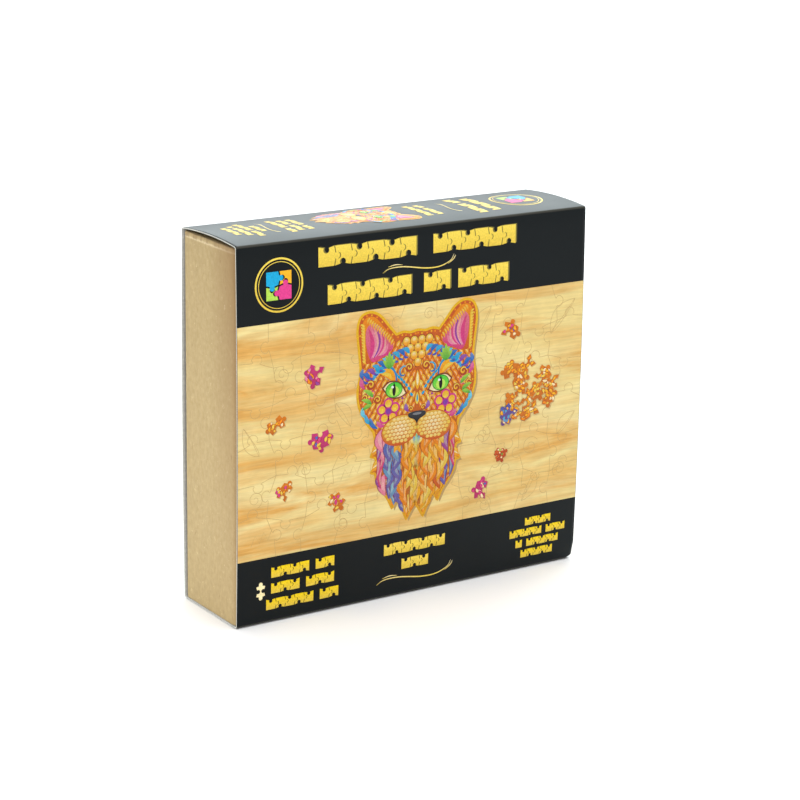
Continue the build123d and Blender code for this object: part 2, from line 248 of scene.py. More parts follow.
class Print:
    """Printed shapes in millimetres, gathered in layers and laid on a panel as thin ink."""

    def __init__(self, scale=1.0, origin=(0.0, 0.0)):
        self.shapes = []
        self.scale = scale
        self.origin = origin

    def fill(self, points, colour, layer, fade=None):
        """fade is a second colour that the shape turns to towards its lower end."""
        s, (ox, oy) = self.scale, self.origin
        placed = [(ox + x * s, oy + y * s) for x, y in points]
        self.shapes.append((placed, colour, fade or colour, layer))

    def both(self, points, colour, layer, fade=None):
        """The shape and its mirror image."""
        self.fill(points, colour, layer, fade)
        self.fill([(-x, y) for x, y in points], colour, layer, fade)

    def leaves(self, rows, layer=0):
        """Mirrored leaves, one for each row: base, tip, width, bend, layer, colour and fade."""
        for bx, by, tx, ty, width, bend, over, colour, fade in rows:
            self.both(petal((bx, by), (tx, ty), width, bend), colour, layer + over, fade)

    def saw_line(self, points, width, layer=0):
        """A thin line laid link by link, so that its tight bends stay clean."""
        outline = ribbon(points, width)
        last = len(outline) - 1
        for i in range(len(points) - 1):
            link = (outline[i], outline[i + 1], outline[last - i - 1], outline[last - i])
            self.fill(link, CUT_LINE, layer)

    def lay(self, name, place, stripes, axis, material,
            base=1, body="sleeve", tone=1.0):
        """Makes the piece: every shape is cut into stripes across axis so that it follows the bow.

        base is the lift of layer 0 in ink steps, and tone darkens the colours.
        """
        bm = bmesh.new()
        tag = bm.faces.layers.int.new("shape")
        for index, (points, _, _, _) in enumerate(self.shapes):
            verts = [bm.verts.new((x, y, 0)) for x, y in points]
            for tri in tessellate_polygon([[v.co for v in verts]]):
                try:
                    face = bm.faces.new([verts[k] for k in tri])
                except ValueError:
                    continue
                face[tag] = index
        way = Vector((0, 1, 0) if axis == "v" else (1, 0, 0))
        for at in stripes:
            every = bm.verts[:] + bm.edges[:] + bm.faces[:]
            bmesh.ops.bisect_plane(bm, geom=every, plane_co=way * at, plane_no=way)
        bmesh.ops.dissolve_degenerate(bm, edges=bm.edges, dist=SLIVER)
        colour = bm.loops.layers.float_color.new("ink")
        lifts = {}
        spans = []
        for points, _, _, _ in self.shapes:
            ys = [p[1] for p in points]
            spans.append((min(ys), max(ys) - min(ys) or 1))
        for face in bm.faces:
            _, upper, lower, layer = self.shapes[face[tag]]
            low, span = spans[face[tag]]
            for loop in face.loops:
                shade = mix(lower, upper, (loop.vert.co.y - low) / span)
                loop[colour] = (*(tone * c for c in shade), 1)
                lifts[loop.vert] = layer
        for vert in bm.verts:
            layer = lifts.get(vert, 0)
            vert.co = place(vert.co.x, vert.co.y, INK_STEP * (base + layer))
        loose = [v for v in bm.verts if not v.link_faces]
        bmesh.ops.delete(bm, geom=loose, context="VERTS")
        outwards = place(1, 20, 0.01) - place(1, 20, 0)
        for face in bm.faces:
            face.normal_update()
            if face.normal.dot(outwards) < 0:
                face.normal_flip()
        piece(name, bm, [material], body)


def as_mesh(name, bm):
    mesh = bpy.data.meshes.new(name)
    bm.to_mesh(mesh)
    bm.free()
    return mesh


def put_in_scene(name, data):
    obj = bpy.data.objects.new(name, data)
    bpy.context.scene.collection.objects.link(obj)
    return obj


def piece(name, bm, materials, body):
    """Turns the mesh in bm into a piece of the visual model that rides on a body."""
    obj = put_in_scene(name, as_mesh(name, bm))
    for material in materials:
        obj.data.materials.append(material)
    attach(obj, body)
    return obj


# ---------------------------------------------------------------- materials


class Nodes:
    """Short names for building a node material."""

    def __init__(self, name):
        self.material = bpy.data.materials.new(name)
        self.material.use_nodes = True
        self.tree = self.material.node_tree
        self.shader = self.tree.nodes["Principled BSDF"]
        self.coords = self.new("ShaderNodeTexCoord").outputs["Object"]

    def new(self, kind, **settings):
        node = self.tree.nodes.new(kind)
        for key, value in settings.items():
            setattr(node, key, value)
        return node

    def link(self, a, b):
        self.tree.links.new(a, b)

    def put(self, socket, value):
        if isinstance(value, bpy.types.NodeSocket):
            self.link(value, socket)
        else:
            socket.default_value = value

    def surface(self, colour, roughness, specular=None):
        """Sets the shader's own sockets; each value is a number, a colour or another node's output."""
        self.put(self.shader.inputs["Base Color"], colour)
        self.put(self.shader.inputs["Roughness"], roughness)
        if specular is not None:
            self.put(self.shader.inputs["Specular IOR Level"], specular)

    def film(self, colour, roughness=FILM_ROUGHNESS):
        """Print under a satin film with a faint orange peel."""
        self.surface(colour, roughness, FILM_SPECULAR)
        self.bump(self.noise(self.coords, 900, 2), 0.00001, 0.5)

    def stretch(self, scale, vector=None):
        node = self.new("ShaderNodeMapping")
        self.link(vector or self.coords, node.inputs["Vector"])
        node.inputs["Scale"].default_value = scale
        return node.outputs["Vector"]

    def axes(self, vector):
        """The three values of a vector or colour."""
        node = self.new("ShaderNodeSeparateXYZ")
        self.link(vector, node.inputs[0])
        return node.outputs

    def voronoi(self, vector, feature, scale=1.0):
        node = self.new("ShaderNodeTexVoronoi", feature=feature)
        self.link(vector, node.inputs["Vector"])
        node.inputs["Scale"].default_value = scale
        return node

    def vector_math(self, operation, vector, value, output="Vector"):
        node = self.new("ShaderNodeVectorMath", operation=operation)
        self.link(vector, node.inputs[0])
        if value is not None:
            node.inputs[1].default_value = value
        return node.outputs[output]

    def noise(self, vector, scale, detail=4.0, roughness=0.55, distortion=0.0):
        node = self.new("ShaderNodeTexNoise")
        self.link(vector, node.inputs["Vector"])
        node.inputs["Scale"].default_value = scale
        node.inputs["Detail"].default_value = detail
        node.inputs["Roughness"].default_value = roughness
        node.inputs["Distortion"].default_value = distortion
        return node.outputs["Fac"]

    def ramp(self, factor, *stops):
        node = self.new("ShaderNodeValToRGB")
        self.link(factor, node.inputs["Fac"])
        elements = node.color_ramp.elements
        while len(elements) < len(stops):
            elements.new(0.5)
        for element, (at, colour) in zip(elements, stops):
            element.position = at
            element.color = (*(colour if isinstance(colour, tuple) else [colour] * 3), 1)
        return node.outputs["Color"]

    def blend(self, factor, a, b, way="MIX"):
        node = self.new("ShaderNodeMix", data_type="RGBA", blend_type=way)
        self.put(node.inputs[0], factor)
        for socket, value in ((node.inputs[6], a), (node.inputs[7], b)):
            self.put(socket, (*value, 1) if isinstance(value, tuple) else value)
        return node.outputs[2]

    def math(self, operation, a, b=0.0):
        node = self.new("ShaderNodeMath", operation=operation)
        self.put(node.inputs[0], a)
        self.put(node.inputs[1], b)
        return node.outputs[0]

    def bump(self, height, distance, strength=1.0):
        node = self.new("ShaderNodeBump")
        self.link(height, node.inputs["Height"])
        node.inputs["Distance"].default_value = distance
        node.inputs["Strength"].default_value = strength
        self.link(node.outputs["Normal"], self.shader.inputs["Normal"])

    def facing(self, axis):
        """How much the surface faces along an axis of the frame, from 0 to 1."""
        normal = self.new("ShaderNodeNewGeometry").outputs["Normal"]
        return self.vector_math("DOT_PRODUCT", normal, axis, "Value")


def lamination():
    """Black print under a satin film: almost even, with finger haze, and paler along the folds with a
    painted highlight and some rubbed wear.
    """
    n = Nodes("black_lamination")
    haze = n.noise(n.coords, 14, 3, 0.6)
    black = n.ramp(haze, (0.3, BLACK), (0.75, (0.005, 0.0075, 0.0085)))
    # bend picks out the curved faces of the long folds. worn paints them paler there as a highlight, with
    # some rubbed wear.
    bend = n.math("ABSOLUTE", n.math("MULTIPLY", n.facing((0, -1, 0)), n.facing((0, 0, 1))))
    worn = n.ramp(bend, (0.12, 0.0), (0.4, 1.0))
    satin = n.ramp(haze, (0.3, 0.32), (0.7, 0.40))
    n.film(n.blend(worn, black, (0.042, 0.041, 0.033)), satin)
    return n.material


def ink():
    """Printed colour under the same film, with the fine rosette noise of offset print."""
    n = Nodes("printed_ink")
    colour = n.new("ShaderNodeVertexColor", layer_name="ink").outputs["Color"]
    tint = n.ramp(n.noise(n.coords, 1500, 2), (0.3, 0.84), (0.7, 1.1))
    n.film(n.blend(1.0, colour, tint, "MULTIPLY"))
    return n.material


def plank_print():
    """A printed photograph-like plank: long soft grain with warm orange streaks."""
    n = Nodes("plank_print")

    def grain(along, across, detail, roughness, distortion):
        return n.noise(n.stretch((along, along, across)), 1.0, detail, roughness, distortion)

    broad = n.ramp(grain(5, 28, 4, 0.6, 0.6), (0.3, (0.775, 0.645, 0.295)), (0.5, (0.755, 0.60, 0.25)),
                   (0.72, (0.715, 0.52, 0.185)))
    pale = n.ramp(grain(7, 34, 3, 0.5, 0.5), (0.52, 0.0), (0.72, 0.85))
    warm = n.ramp(grain(10, 58, 6, 0.6, 0.9), (0.44, 0.0), (0.63, 0.95))
    band = n.ramp(grain(4, 46, 3, 0.5, 0.3), (0.52, 0.0), (0.68, 0.55))
    mottle = n.ramp(n.noise(n.coords, 95, 3, 0.6), (0.3, 0.93), (0.7, 1.04))
    lines = n.ramp(grain(45, 900, 5, 0.7, 0.4), (0.3, 0.86), (0.65, 1.05))
    colour = n.blend(pale, broad, (0.83, 0.74, 0.41))
    colour = n.blend(warm, colour, (0.65, 0.34, 0.08))
    colour = n.blend(band, colour, (0.70, 0.37, 0.09))
    colour = n.blend(1.0, colour, mottle, "MULTIPLY")
    n.film(n.blend(1.0, colour, lines, "MULTIPLY"))
    return n.material


def fibre_material(name, fibre_of, dark, light, roughness, depth, strength):
    """A plain material that is mottled between two colours by its own fibre."""
    n = Nodes(name)
    fibre = fibre_of(n)
    n.surface(n.ramp(fibre, (0.3, dark), (0.7, light)), roughness)
    n.bump(fibre, depth, strength)
    return n.material


def inner_board():
    return fibre_material("uncoated_board", lambda n: n.noise(n.stretch((300, 300, 900)), 1.0, 4, 0.7),
                          (0.30, 0.30, 0.28), (0.42, 0.415, 0.39), 0.85, 0.00004, 0.5)


def cut_edge():
    return fibre_material("cut_board_edge", lambda n: n.noise(n.coords, 2500, 3),
                          (0.38, 0.38, 0.34), (0.60, 0.60, 0.54), 0.9, 0.00003, 0.6)


def scorched_edge():
    return fibre_material("scorched_edge", lambda n: n.noise(n.coords, 900, 4),
                          (0.03, 0.016, 0.009), (0.10, 0.05, 0.022), 0.7, 0.00005, 0.5)


def kraft(name, fibre_scale, crease=None, front_edge=0.0):
    """Brown kraft liner: cloudy fibre, dark and pale flecks, and painted shade on every face turned towards
    -Y, as at its rolled front edge.

    A wall with a crease has a pale rubbed line there, faint dashes above it, and painted shade near its
    front edge that grows towards the top.
    """
    n = Nodes(name)
    cloud = n.noise(n.coords, 420, 5, 0.6)
    fibre = n.noise(n.stretch(fibre_scale), 1.0, 5, 0.7, 0.8)
    colour = n.ramp(cloud, (0.25, (0.362, 0.266, 0.125)), (0.55, (0.404, 0.303, 0.151)),
                    (0.8, (0.451, 0.345, 0.180)))
    colour = n.blend(1.0, colour, n.ramp(fibre, (0.25, 0.86), (0.7, 1.08)), "MULTIPLY")
    fleck = n.noise(n.stretch(fibre_scale), 0.45, 2, 0.5, 1.5)
    colour = n.blend(n.ramp(fleck, (0.68, 0.0), (0.78, 0.55)), colour, (0.20, 0.12, 0.05))
    pale = n.noise(n.coords, 620, 2, 0.5, 1.0)
    colour = n.blend(n.ramp(pale, (0.66, 0.0), (0.78, 0.5)), colour, (0.72, 0.58, 0.36))
    # Painted shade: every face turned towards -Y, such as the rolled front edge and the rims, is darkened as
    # if shaded.
    folded = n.ramp(n.facing((0, -1, 0)), (0.06, 0.0), (0.45, 0.42))
    colour = n.blend(folded, colour, (0.24, 0.145, 0.06))
    if crease:
        _, deep, up = n.axes(n.coords)
        away = n.math("MULTIPLY", n.math("ABSOLUTE", n.math("SUBTRACT", up, crease)), 1 / MM)
        worn = n.math("MULTIPLY", n.ramp(away, (0.1, 0.8), (0.75, 0.0)), fibre)
        colour = n.blend(worn, colour, (0.80, 0.68, 0.46))
        # Painted shade: the wall is darkened near the tray's front edge, more towards its top.
        near = n.math("MULTIPLY", n.math("SUBTRACT", deep, front_edge), 42.0)
        near = n.ramp(near, (0.0, 1.0), (1.0, 0.0))
        painted_edge_shade = n.math("MULTIPLY", near, n.ramp(up, (0.0, 0.05), (0.17, 1.0)))
        colour = n.blend(n.math("MULTIPLY", painted_edge_shade, 0.85), colour, (0.25, 0.15, 0.065))
        dashes = n.ramp(n.noise(n.stretch((420, 420, 60)), 1.0, 2), (0.45, 0.0), (0.6, 0.6))
        above = n.math("GREATER_THAN", up, crease)
        colour = n.blend(n.math("MULTIPLY", above, dashes), colour, (0.27, 0.18, 0.09))
    n.surface(colour, 0.88, 0.25)
    n.bump(n.math("ADD", cloud, n.math("MULTIPLY", fibre, 0.6)), 0.00008, 0.6)
    return n.material


# Ovals in the mirrored picture on the wooden pieces, in metres from its foot, each filled with a
# colour or with one of the patterns made in wood_piece.
PICTURE_OVALS = (
    (0.060, 0.232, 0.019, 0.034, "gilded"),
    (0.060, 0.230, 0.014, 0.027, "rosy"),
    (0.0, 0.212, 0.016, 0.018, "gilded"),
    (0.026, 0.118, 0.029, 0.024, MAROON),
    (0.026, 0.118, 0.027, 0.022, "scaled"),
    (0.0, 0.134, 0.013, 0.010, DARK),
    (0.0, 0.137, 0.007, 0.003, (0.12, 0.12, 0.14)),
    (0.035, 0.172, 0.023, 0.0165, MAROON),
    (0.035, 0.172, 0.0208, 0.0145, CREAM),
    (0.035, 0.172, 0.0155, 0.0135, IRIS_RIM),
    (0.035, 0.172, 0.0142, 0.0122, (0.06, 0.60, 0.05)),
    (0.035, 0.170, 0.0085, 0.0085, (0.50, 0.80, 0.12)),
    (0.035, 0.172, 0.0030, 0.0112, DARK),
)


def wood_piece(name, picture_floor):
    """Laser-cut plywood: printed face to -Y, pale back, burnt edges."""
    n = Nodes(name)
    side, _, up = n.axes(n.coords)
    spot = n.new("ShaderNodeCombineXYZ")
    n.put(spot.inputs[0], n.math("ABSOLUTE", side))
    n.put(spot.inputs[1], n.math("SUBTRACT", up, picture_floor))
    spot = spot.outputs[0]
    warp = n.stretch((340, 190, 340), spot)
    cells = n.voronoi(warp, "F1")
    red, green, blue = n.axes(cells.outputs["Color"])
    petals = n.ramp(red, (0.0, RUST), (0.3, ORANGE), (0.55, AMBER), (0.75, GOLD), (0.92, CREAM))
    cool = n.ramp(green, (0.0, PURPLE), (0.3, BLUE), (0.6, CYAN), (0.85, GREEN))
    rosy = n.ramp(blue, (0.0, PURPLE), (0.3, PINK), (0.7, ROSE))
    colour = n.blend(n.ramp(n.noise(spot, 28, 2), (0.56, 0.0), (0.60, 1.0)), petals, cool)
    blush = n.noise(spot, 22, 1, 0.5, 0.7)
    colour = n.blend(n.ramp(blush, (0.60, 0.0), (0.63, 1.0)), colour, rosy)
    glow = n.ramp(n.voronoi(warp, "F1", 5.0).outputs["Distance"], (0.0, 1.25), (0.6, 0.75))
    colour = n.blend(1.0, colour, glow, "MULTIPLY")
    edges = n.voronoi(warp, "DISTANCE_TO_EDGE").outputs["Distance"]
    colour = n.blend(n.ramp(edges, (0.02, 0.85), (0.07, 0.0)), colour, (0.45, 0.13, 0.015))
    scales = n.voronoi(spot, "DISTANCE_TO_EDGE", 300.0)
    scales.inputs["Randomness"].default_value = 0.35
    seams = n.ramp(scales.outputs["Distance"], (0.03, 1.0), (0.12, 0.0))
    shades = {
        "rosy": rosy,
        "scaled": n.blend(seams, CREAM, mix(AMBER, RUST, 0.4)),
        "gilded": n.blend(seams, GOLD, mix(AMBER, RUST, 0.5)),
    }
    for cx, cy, rx, ry, shade in PICTURE_OVALS:
        place = n.vector_math("SUBTRACT", spot, (cx, cy, 0))
        place = n.vector_math("MULTIPLY", place, (1 / rx, 1 / ry, 0))
        oval = n.ramp(n.vector_math("LENGTH", place, None, "Value"), (0.95, 1.0), (0.99, 0.0))
        colour = n.blend(oval, colour, shades.get(shade, shade))
    grain = n.noise(n.stretch((40, 40, 700)), 1.0, 5, 0.65, 0.4)
    ply = n.ramp(grain, (0.3, (0.58, 0.40, 0.22)), (0.7, (0.74, 0.56, 0.34)))
    burnt = n.ramp(n.noise(n.coords, 700, 3), (0.3, (0.035, 0.018, 0.010)), (0.7, (0.11, 0.055, 0.025)))
    front = n.math("GREATER_THAN", n.facing((0, -1, 0)), 0.95)
    back = n.math("GREATER_THAN", n.facing((0, 1, 0)), 0.7)
    n.surface(n.blend(front, n.blend(back, burnt, ply), colour), 0.45)
    n.bump(grain, 0.00005, 0.5)
    return n.material


def leaflet_paper():
    n = Nodes("leaflet_paper")
    fibre = n.noise(n.coords, 900, 3)
    tint = n.ramp(n.noise(n.stretch((14, 14, 22)), 1.0, 3), (0.45, 0.0), (0.6, 0.35))
    paper = n.ramp(fibre, (0.3, (0.74, 0.73, 0.70)), (0.7, (0.86, 0.85, 0.82)))
    n.surface(n.blend(tint, paper, (0.82, 0.62, 0.30)), 0.6)
    n.bump(fibre, 0.00002, 0.4)
    return n.material


# ---------------------------------------------------------------- printed motifs


def tile_word(art, x, y, width, height, tiles, colour=GOLD, fade=GOLD_DEEP, shade=True):
    """A run of joined jigsaw tiles where the real box prints a word."""
    step = width / tiles
    gap = max(step * 0.06, 0.3)
    knob = min(step, height) * 0.36
    for i in range(tiles):
        last = i == tiles - 1
        sides = (-(i % 2), 0 if last else 1, -((i + 1) % 2), -1 if i else 0)
        shape = tile(x + i * step, y, step - (0 if last else gap), height, sides, knob)
        if shade:
            art.fill([(px + 0.75, py + 0.3) for px, py in shape], GOLD_SHADE, 1 + 0.05 * i)
        art.fill(shape, colour, 2 + 0.05 * (i % 2), fade)


def tile_line(art, centre, y, height, words, unit, colour=GOLD):
    """A centred line of small tile words; words gives the tile count of each."""
    space = unit * 0.7
    total = sum(words) * unit + space * (len(words) - 1)
    x = centre - total / 2
    for count in words:
        tile_word(art, x, y, count * unit, height, count, colour, shade=False)
        x += count * unit + space


def tile_rows(art, centre, height, unit, rows, colour=GOLD):
    """Several tile lines, each given by its foot and its words."""
    for y, words in rows:
        tile_line(art, centre, y, height, words, unit, colour)


def swash(art, cx, cy, width):
    """Two tapered pen strokes, as drawn under a title."""
    s = width / 40

    def stroke(points, thick):
        line = open_curve([(cx + x * s, cy + y * s) for x, y in points])
        art.fill(ribbon(line, thick, 0.8), CREAM, 2, GOLD)

    stroke([(-20, -1.6), (-16, 0.2), (-8, 0.3), (4, -1.6), (12, -1.6), (18, 0.6), (20, 3.6)], 0.55)
    stroke([(-17, 1.0), (-13, 1.7), (-9, 1.3)], 0.4)
    stroke([(16.5, -0.9), (19.6, 1.0), (21, 3.0)], 0.4)


def medallion(art, cx, cy, radius):
    """A plain ring around four joined tiles."""
    for r, layer in ((1.0, 1), (0.93, 2), (0.86, 3), (0.835, 4)):
        gold = layer % 2
        disc = ellipse(cx, cy, radius * r, radius * r, count=48)
        art.fill(disc, GOLD if gold else BLACK, layer, GOLD_DEEP if gold else None)
    side = radius * 0.52
    gap = radius * 0.03
    knob = side * 0.42
    for i, (colour, dx, dy, sides) in enumerate((
        (CYAN, -1, 0, (1, 1, 0, 0)),
        (AMBER, 0, 0, (-1, 0, 0, -1)),
        (LIME, -1, -1, (0, -1, -1, 0)),
        (PINK, 0, -1, (0, 0, 1, 1)),
    )):
        x = cx + dx * side + gap * (dx + 0.5)
        y = cy + dy * side + gap * (dy + 0.5)
        art.fill(tile(x, y, side - gap, side - gap, sides, knob), colour, 5 + i % 2)


# Half outline of the printed head, from the crown down to the beard's tip, in millimetres about
# the middle of the picture. A third value marks a corner.
HEAD = [
    (0, 127.6), (4, 127.0), (8, 127.6), (11.8, 126.8, 1), (15.6, 131.0), (20.6, 136.6), (26.0, 138.9),
    (31.0, 137.0), (32.8, 130.5), (31.6, 119), (31.0, 111), (32.5, 103), (31.7, 95.5), (27.8, 87.6),
    (23.6, 82.4, 1), (22.6, 76), (25.0, 70.6, 1), (22.6, 69.8), (22.2, 66.5), (24.8, 62.8, 1),
    (22.4, 62.0), (21.4, 57.6), (18.4, 53.0), (15.4, 49.2), (12.7, 43.8, 1), (10.2, 47.2),
    (7.2, 42.8), (4.7, 37.2, 1), (1.9, 41.8), (0, 43.6),
]
BEARD_TIPS = (
    ((19.0, 76.5), (24.3, 70.9)), ((18.5, 69.0), (24.0, 63.3)), ((15.0, 60.0), (18.2, 54.2)),
    ((10.4, 54.0), (12.6, 45.0)), ((3.5, 49.5), (4.7, 38.6)),
)


def head_outline(grow):
    """The whole head outline, grown outwards by some millimetres."""
    half = HEAD + [(-p[0], *p[1:]) for p in reversed(HEAD[1:-1])]
    points = smooth(half, 5)
    if not grow:
        return points
    out = []
    count = len(points)
    for i, (x, y) in enumerate(points):
        ax, ay = points[i - 1]
        bx, by = points[(i + 1) % count]
        length = hypot(bx - ax, by - ay) or 1
        out.append((x - (by - ay) / length * grow, y + (bx - ax) / length * grow))
    return out


def inside(points, x, y):
    found = False
    for (ax, ay), (bx, by) in zip(points, points[1:] + points[:1]):
        if (ay > y) != (by > y) and x < ax + (y - ay) / (by - ay) * (bx - ax):
            found = not found
    return found


def strand_colour(rng, x, y):
    """Beard strands: pink then blue on the left, amber in the middle, purple at the right edge."""
    low = y < 60
    if x < -17 and not low:
        return rng.choice((PINK, PINK, PURPLE, ROSE, PINK))
    if x < -12 or (x < -8 and low):
        return rng.choice((BLUE, CYAN, CYAN, BLUE, CYAN))
    if x < -8:
        return rng.choice((CYAN, AMBER, PINK, AMBER, BLUE))
    if x > 17:
        return rng.choice((PURPLE, RUST, ORANGE, PINK, PURPLE, BLUE))
    if x > 12:
        return rng.choice((AMBER, ORANGE, AMBER, RUST, AMBER, GOLD))
    return rng.choice((AMBER, ORANGE, GOLD, AMBER, AMBER, ORANGE, (0.92, 0.56, 0.12)))


def cat_head(art, seed):
    """A plain symmetrical cat's head filled with leaves, scales, dots and flowers."""
    rng = random.Random(seed)
    outline = head_outline(0)
    art.fill(head_outline(0.7), HONEY[0], 1, HONEY[1])
    art.fill(head_outline(-0.55), RUST, 2, (0.55, 0.16, 0.02))
    for i, (x, y) in enumerate(head_outline(-1.35)[::3]):
        art.fill(ellipse(x, y, 0.5, 0.5, count=8), AMBER if i % 2 else ORANGE, 2.5)
    for (bx, by), (tx, ty) in BEARD_TIPS:
        art.leaves((
            (bx, by, tx, ty, 4.0, 0.08, 2.6, mix(AMBER, RUST, 0.4), None),
            (bx, by, tx, ty, 3.2, 0.08, 2.7, GOLD, ORANGE),
            (bx, by - 2, tx, ty + 1.5, 0.7, 0.08, 2.8, CREAM, None),
        ))
    fur(art, rng, outline)
    beard(art, rng, outline)
    ears(art)
    crown(art)
    brow(art)
    eyes(art)
    cheeks(art)
    muzzle(art)


def fur(art, rng, outline):
    """Short fur leaves over the whole face, in rows that lean outwards."""
    for row in range(16):
        y = 124.0 - 2.5 * row
        for column in range(10):
            x = 1.2 + 2.9 * column + 1.45 * (row % 2)
            tx, ty = x * 1.05 + 1.0, y - 4.7
            shade = rng.choice((ORANGE, AMBER, AMBER, GOLD, ORANGE, AMBER))
            if inside(outline, x + 0.5, y + 1) and inside(outline, tx + 1.2, ty):
                art.leaves((
                    (x, y + 0.2, tx, ty - 0.2, 2.7, 0.1, 0.0, mix(MAROON, RUST, 0.7), None),
                    (x, y, tx, ty, 2.1, 0.1, 0.05, shade, mix(shade, RUST, 0.6)),
                    (x + 0.2, y - 0.9, tx, ty + 1.3, 0.6, 0.1, 0.1, mix(shade, CREAM, 0.5), None),
                ), 3 + 0.2 * (row % 2))


def beard(art, rng, outline):
    """Long S strands, laid from the bottom up."""
    for level in range(9):
        y = 48.0 + level * 4.4
        x = 1.2 + (level % 2) * 1.9
        column = 0
        while x < 22:
            length = 14.5 - 0.15 * x
            tip = (x * 1.03 - 0.6 + rng.uniform(-0.9, 0.9), y - length)
            while length > 5 and not inside(outline, tip[0], tip[1] + 0.6):
                length -= 1
                tip = (tip[0] * 0.98, y - length)
            if inside(outline, x, y) and inside(outline, tip[0], tip[1] + 0.6):
                layer = 3 + 0.4 * level + 0.2 * (column % 2)
                slim = 1.0 if inside(outline, (x + tip[0]) / 2 + 3.0, (y + tip[1]) / 2) else 0.5
                for sign in (-1, 1):
                    shade = strand_colour(rng, sign * x, y)
                    bend = sign * slim * rng.choice((-0.17, 0.17))
                    start, end = (sign * x, y), (sign * tip[0], tip[1])
                    art.fill(petal(start, end, 4.9 * slim, bend), mix(shade, MAROON, 0.75), layer)
                    strand = petal(start, end, 4.1 * slim, bend)
                    art.fill(strand, mix(shade, GOLD, 0.06), layer + 0.05, mix(shade, RUST, 0.3))
                    for k in (-0.9 * slim, 0.0, 0.9 * slim):
                        vein = petal((sign * x + k, y - 1.5), (end[0] + k * 0.3, end[1] + 2), 0.42, bend)
                        art.fill(vein, mix(shade, CREAM, 0.42), layer + 0.1)
            x += 3.6
            column += 1


def ears(art):
    ear = [(13.2, 124.0), (18.6, 131.2), (24.2, 136.6), (29.6, 135.2), (30.8, 126), (28.6, 115.5), (19, 117)]
    hollow = [(13.6, 121.0), (17.2, 126.4), (20.4, 131.2), (25.0, 133.6), (28.2, 130.6), (28.0, 123),
              (25.0, 115.8), (19.4, 117.2)]
    art.both(smooth(ear), ORANGE, 4, RUST)
    art.both(smooth(hollow), mix(ROSE, RUST, 0.45), 5, mix(PINK, RUST, 0.2))
    blush = (0.85, 0.40, 0.40)
    for i, shade in enumerate((PINK, ROSE, blush, PINK, ROSE, PURPLE, blush, ROSE, PINK)):
        t = i / 8
        base = (20.4 + 5.6 * t, 118.4 - 1.6 * t)
        tip = (14.6 + 12.6 * t, 120.6 + 11.4 * sin(0.5 * pi * min(1.0, 1.3 * t)))
        art.both(petal(base, tip, 2.3, 0.12), mix(shade, RUST, 0.3), 6 + 0.08 * i, shade)
    for i in range(13):
        t = i / 12
        x, y = 13.4 + 12.8 * t, 125.0 + 11.4 * t ** 0.85
        art.leaves((
            (x, y, x + 1.5, y - 3.0, 1.0, 0.1, 0, GOLD, ORANGE),
            (30.2 + 1.0 * t, 117 + 17 * t, 28.4 + 0.4 * t, 115 + 16.5 * t, 1.1, -0.1, 0, GOLD, AMBER),
        ), 6.8 + 0.05 * (i % 2))


def crown(art):
    """Scales between the ears, a blue band across the brow and a sprig on it."""
    for i in range(4):
        for k in range(i + 1):
            x, y = -2.1 * i + 4.2 * k, 112.4 + 3.5 * i
            art.fill(ellipse(x, y, 2.25, 2.35), MAROON, 6)
            art.fill(ellipse(x, y, 2.0, 2.1), GOLD, 6.2, ORANGE)
            art.fill(ellipse(x, y + 0.4, 1.0, 1.0), CREAM, 6.4, AMBER)
    for i, shade in enumerate((CYAN, BLUE, CYAN, BLUE, SKY, BLUE, CYAN, PURPLE, BLUE)):
        x = 6.5 + 2.7 * i
        y = 118.6 - 0.055 * (x - 4) ** 1.62
        art.leaves((
            (x - 2, y - 1.2, x + 2.2, y + 1.6, 2.3, 0.15, 0, mix(shade, WHITE, 0.08), shade),
            (x - 1.4, y - 3.0, x + 1.6, y - 1.2, 1.2, -0.2, 0.05, PURPLE, BLUE),
        ), 7 + 0.1 * i)
    for i, (dx, rise) in enumerate(((-3.6, 4.4), (3.6, 4.4), (-2.0, 6.6), (2.0, 6.6), (0, 8.2))):
        art.both(petal((15.6, 111.2), (15.6 + dx, 111.2 + rise), 2.3, 0.02 * dx), LIME, 8.1 + 0.1 * i, GREEN)


def curl(cx, cy, size, turns, count=16):
    """A spiral line about a centre."""
    points = []
    for i in range(count):
        t = i / (count - 1)
        r = size * (1 - 0.85 * t)
        points.append((cx + r * cos(turns(t)), cy + r * sin(turns(t))))
    return points


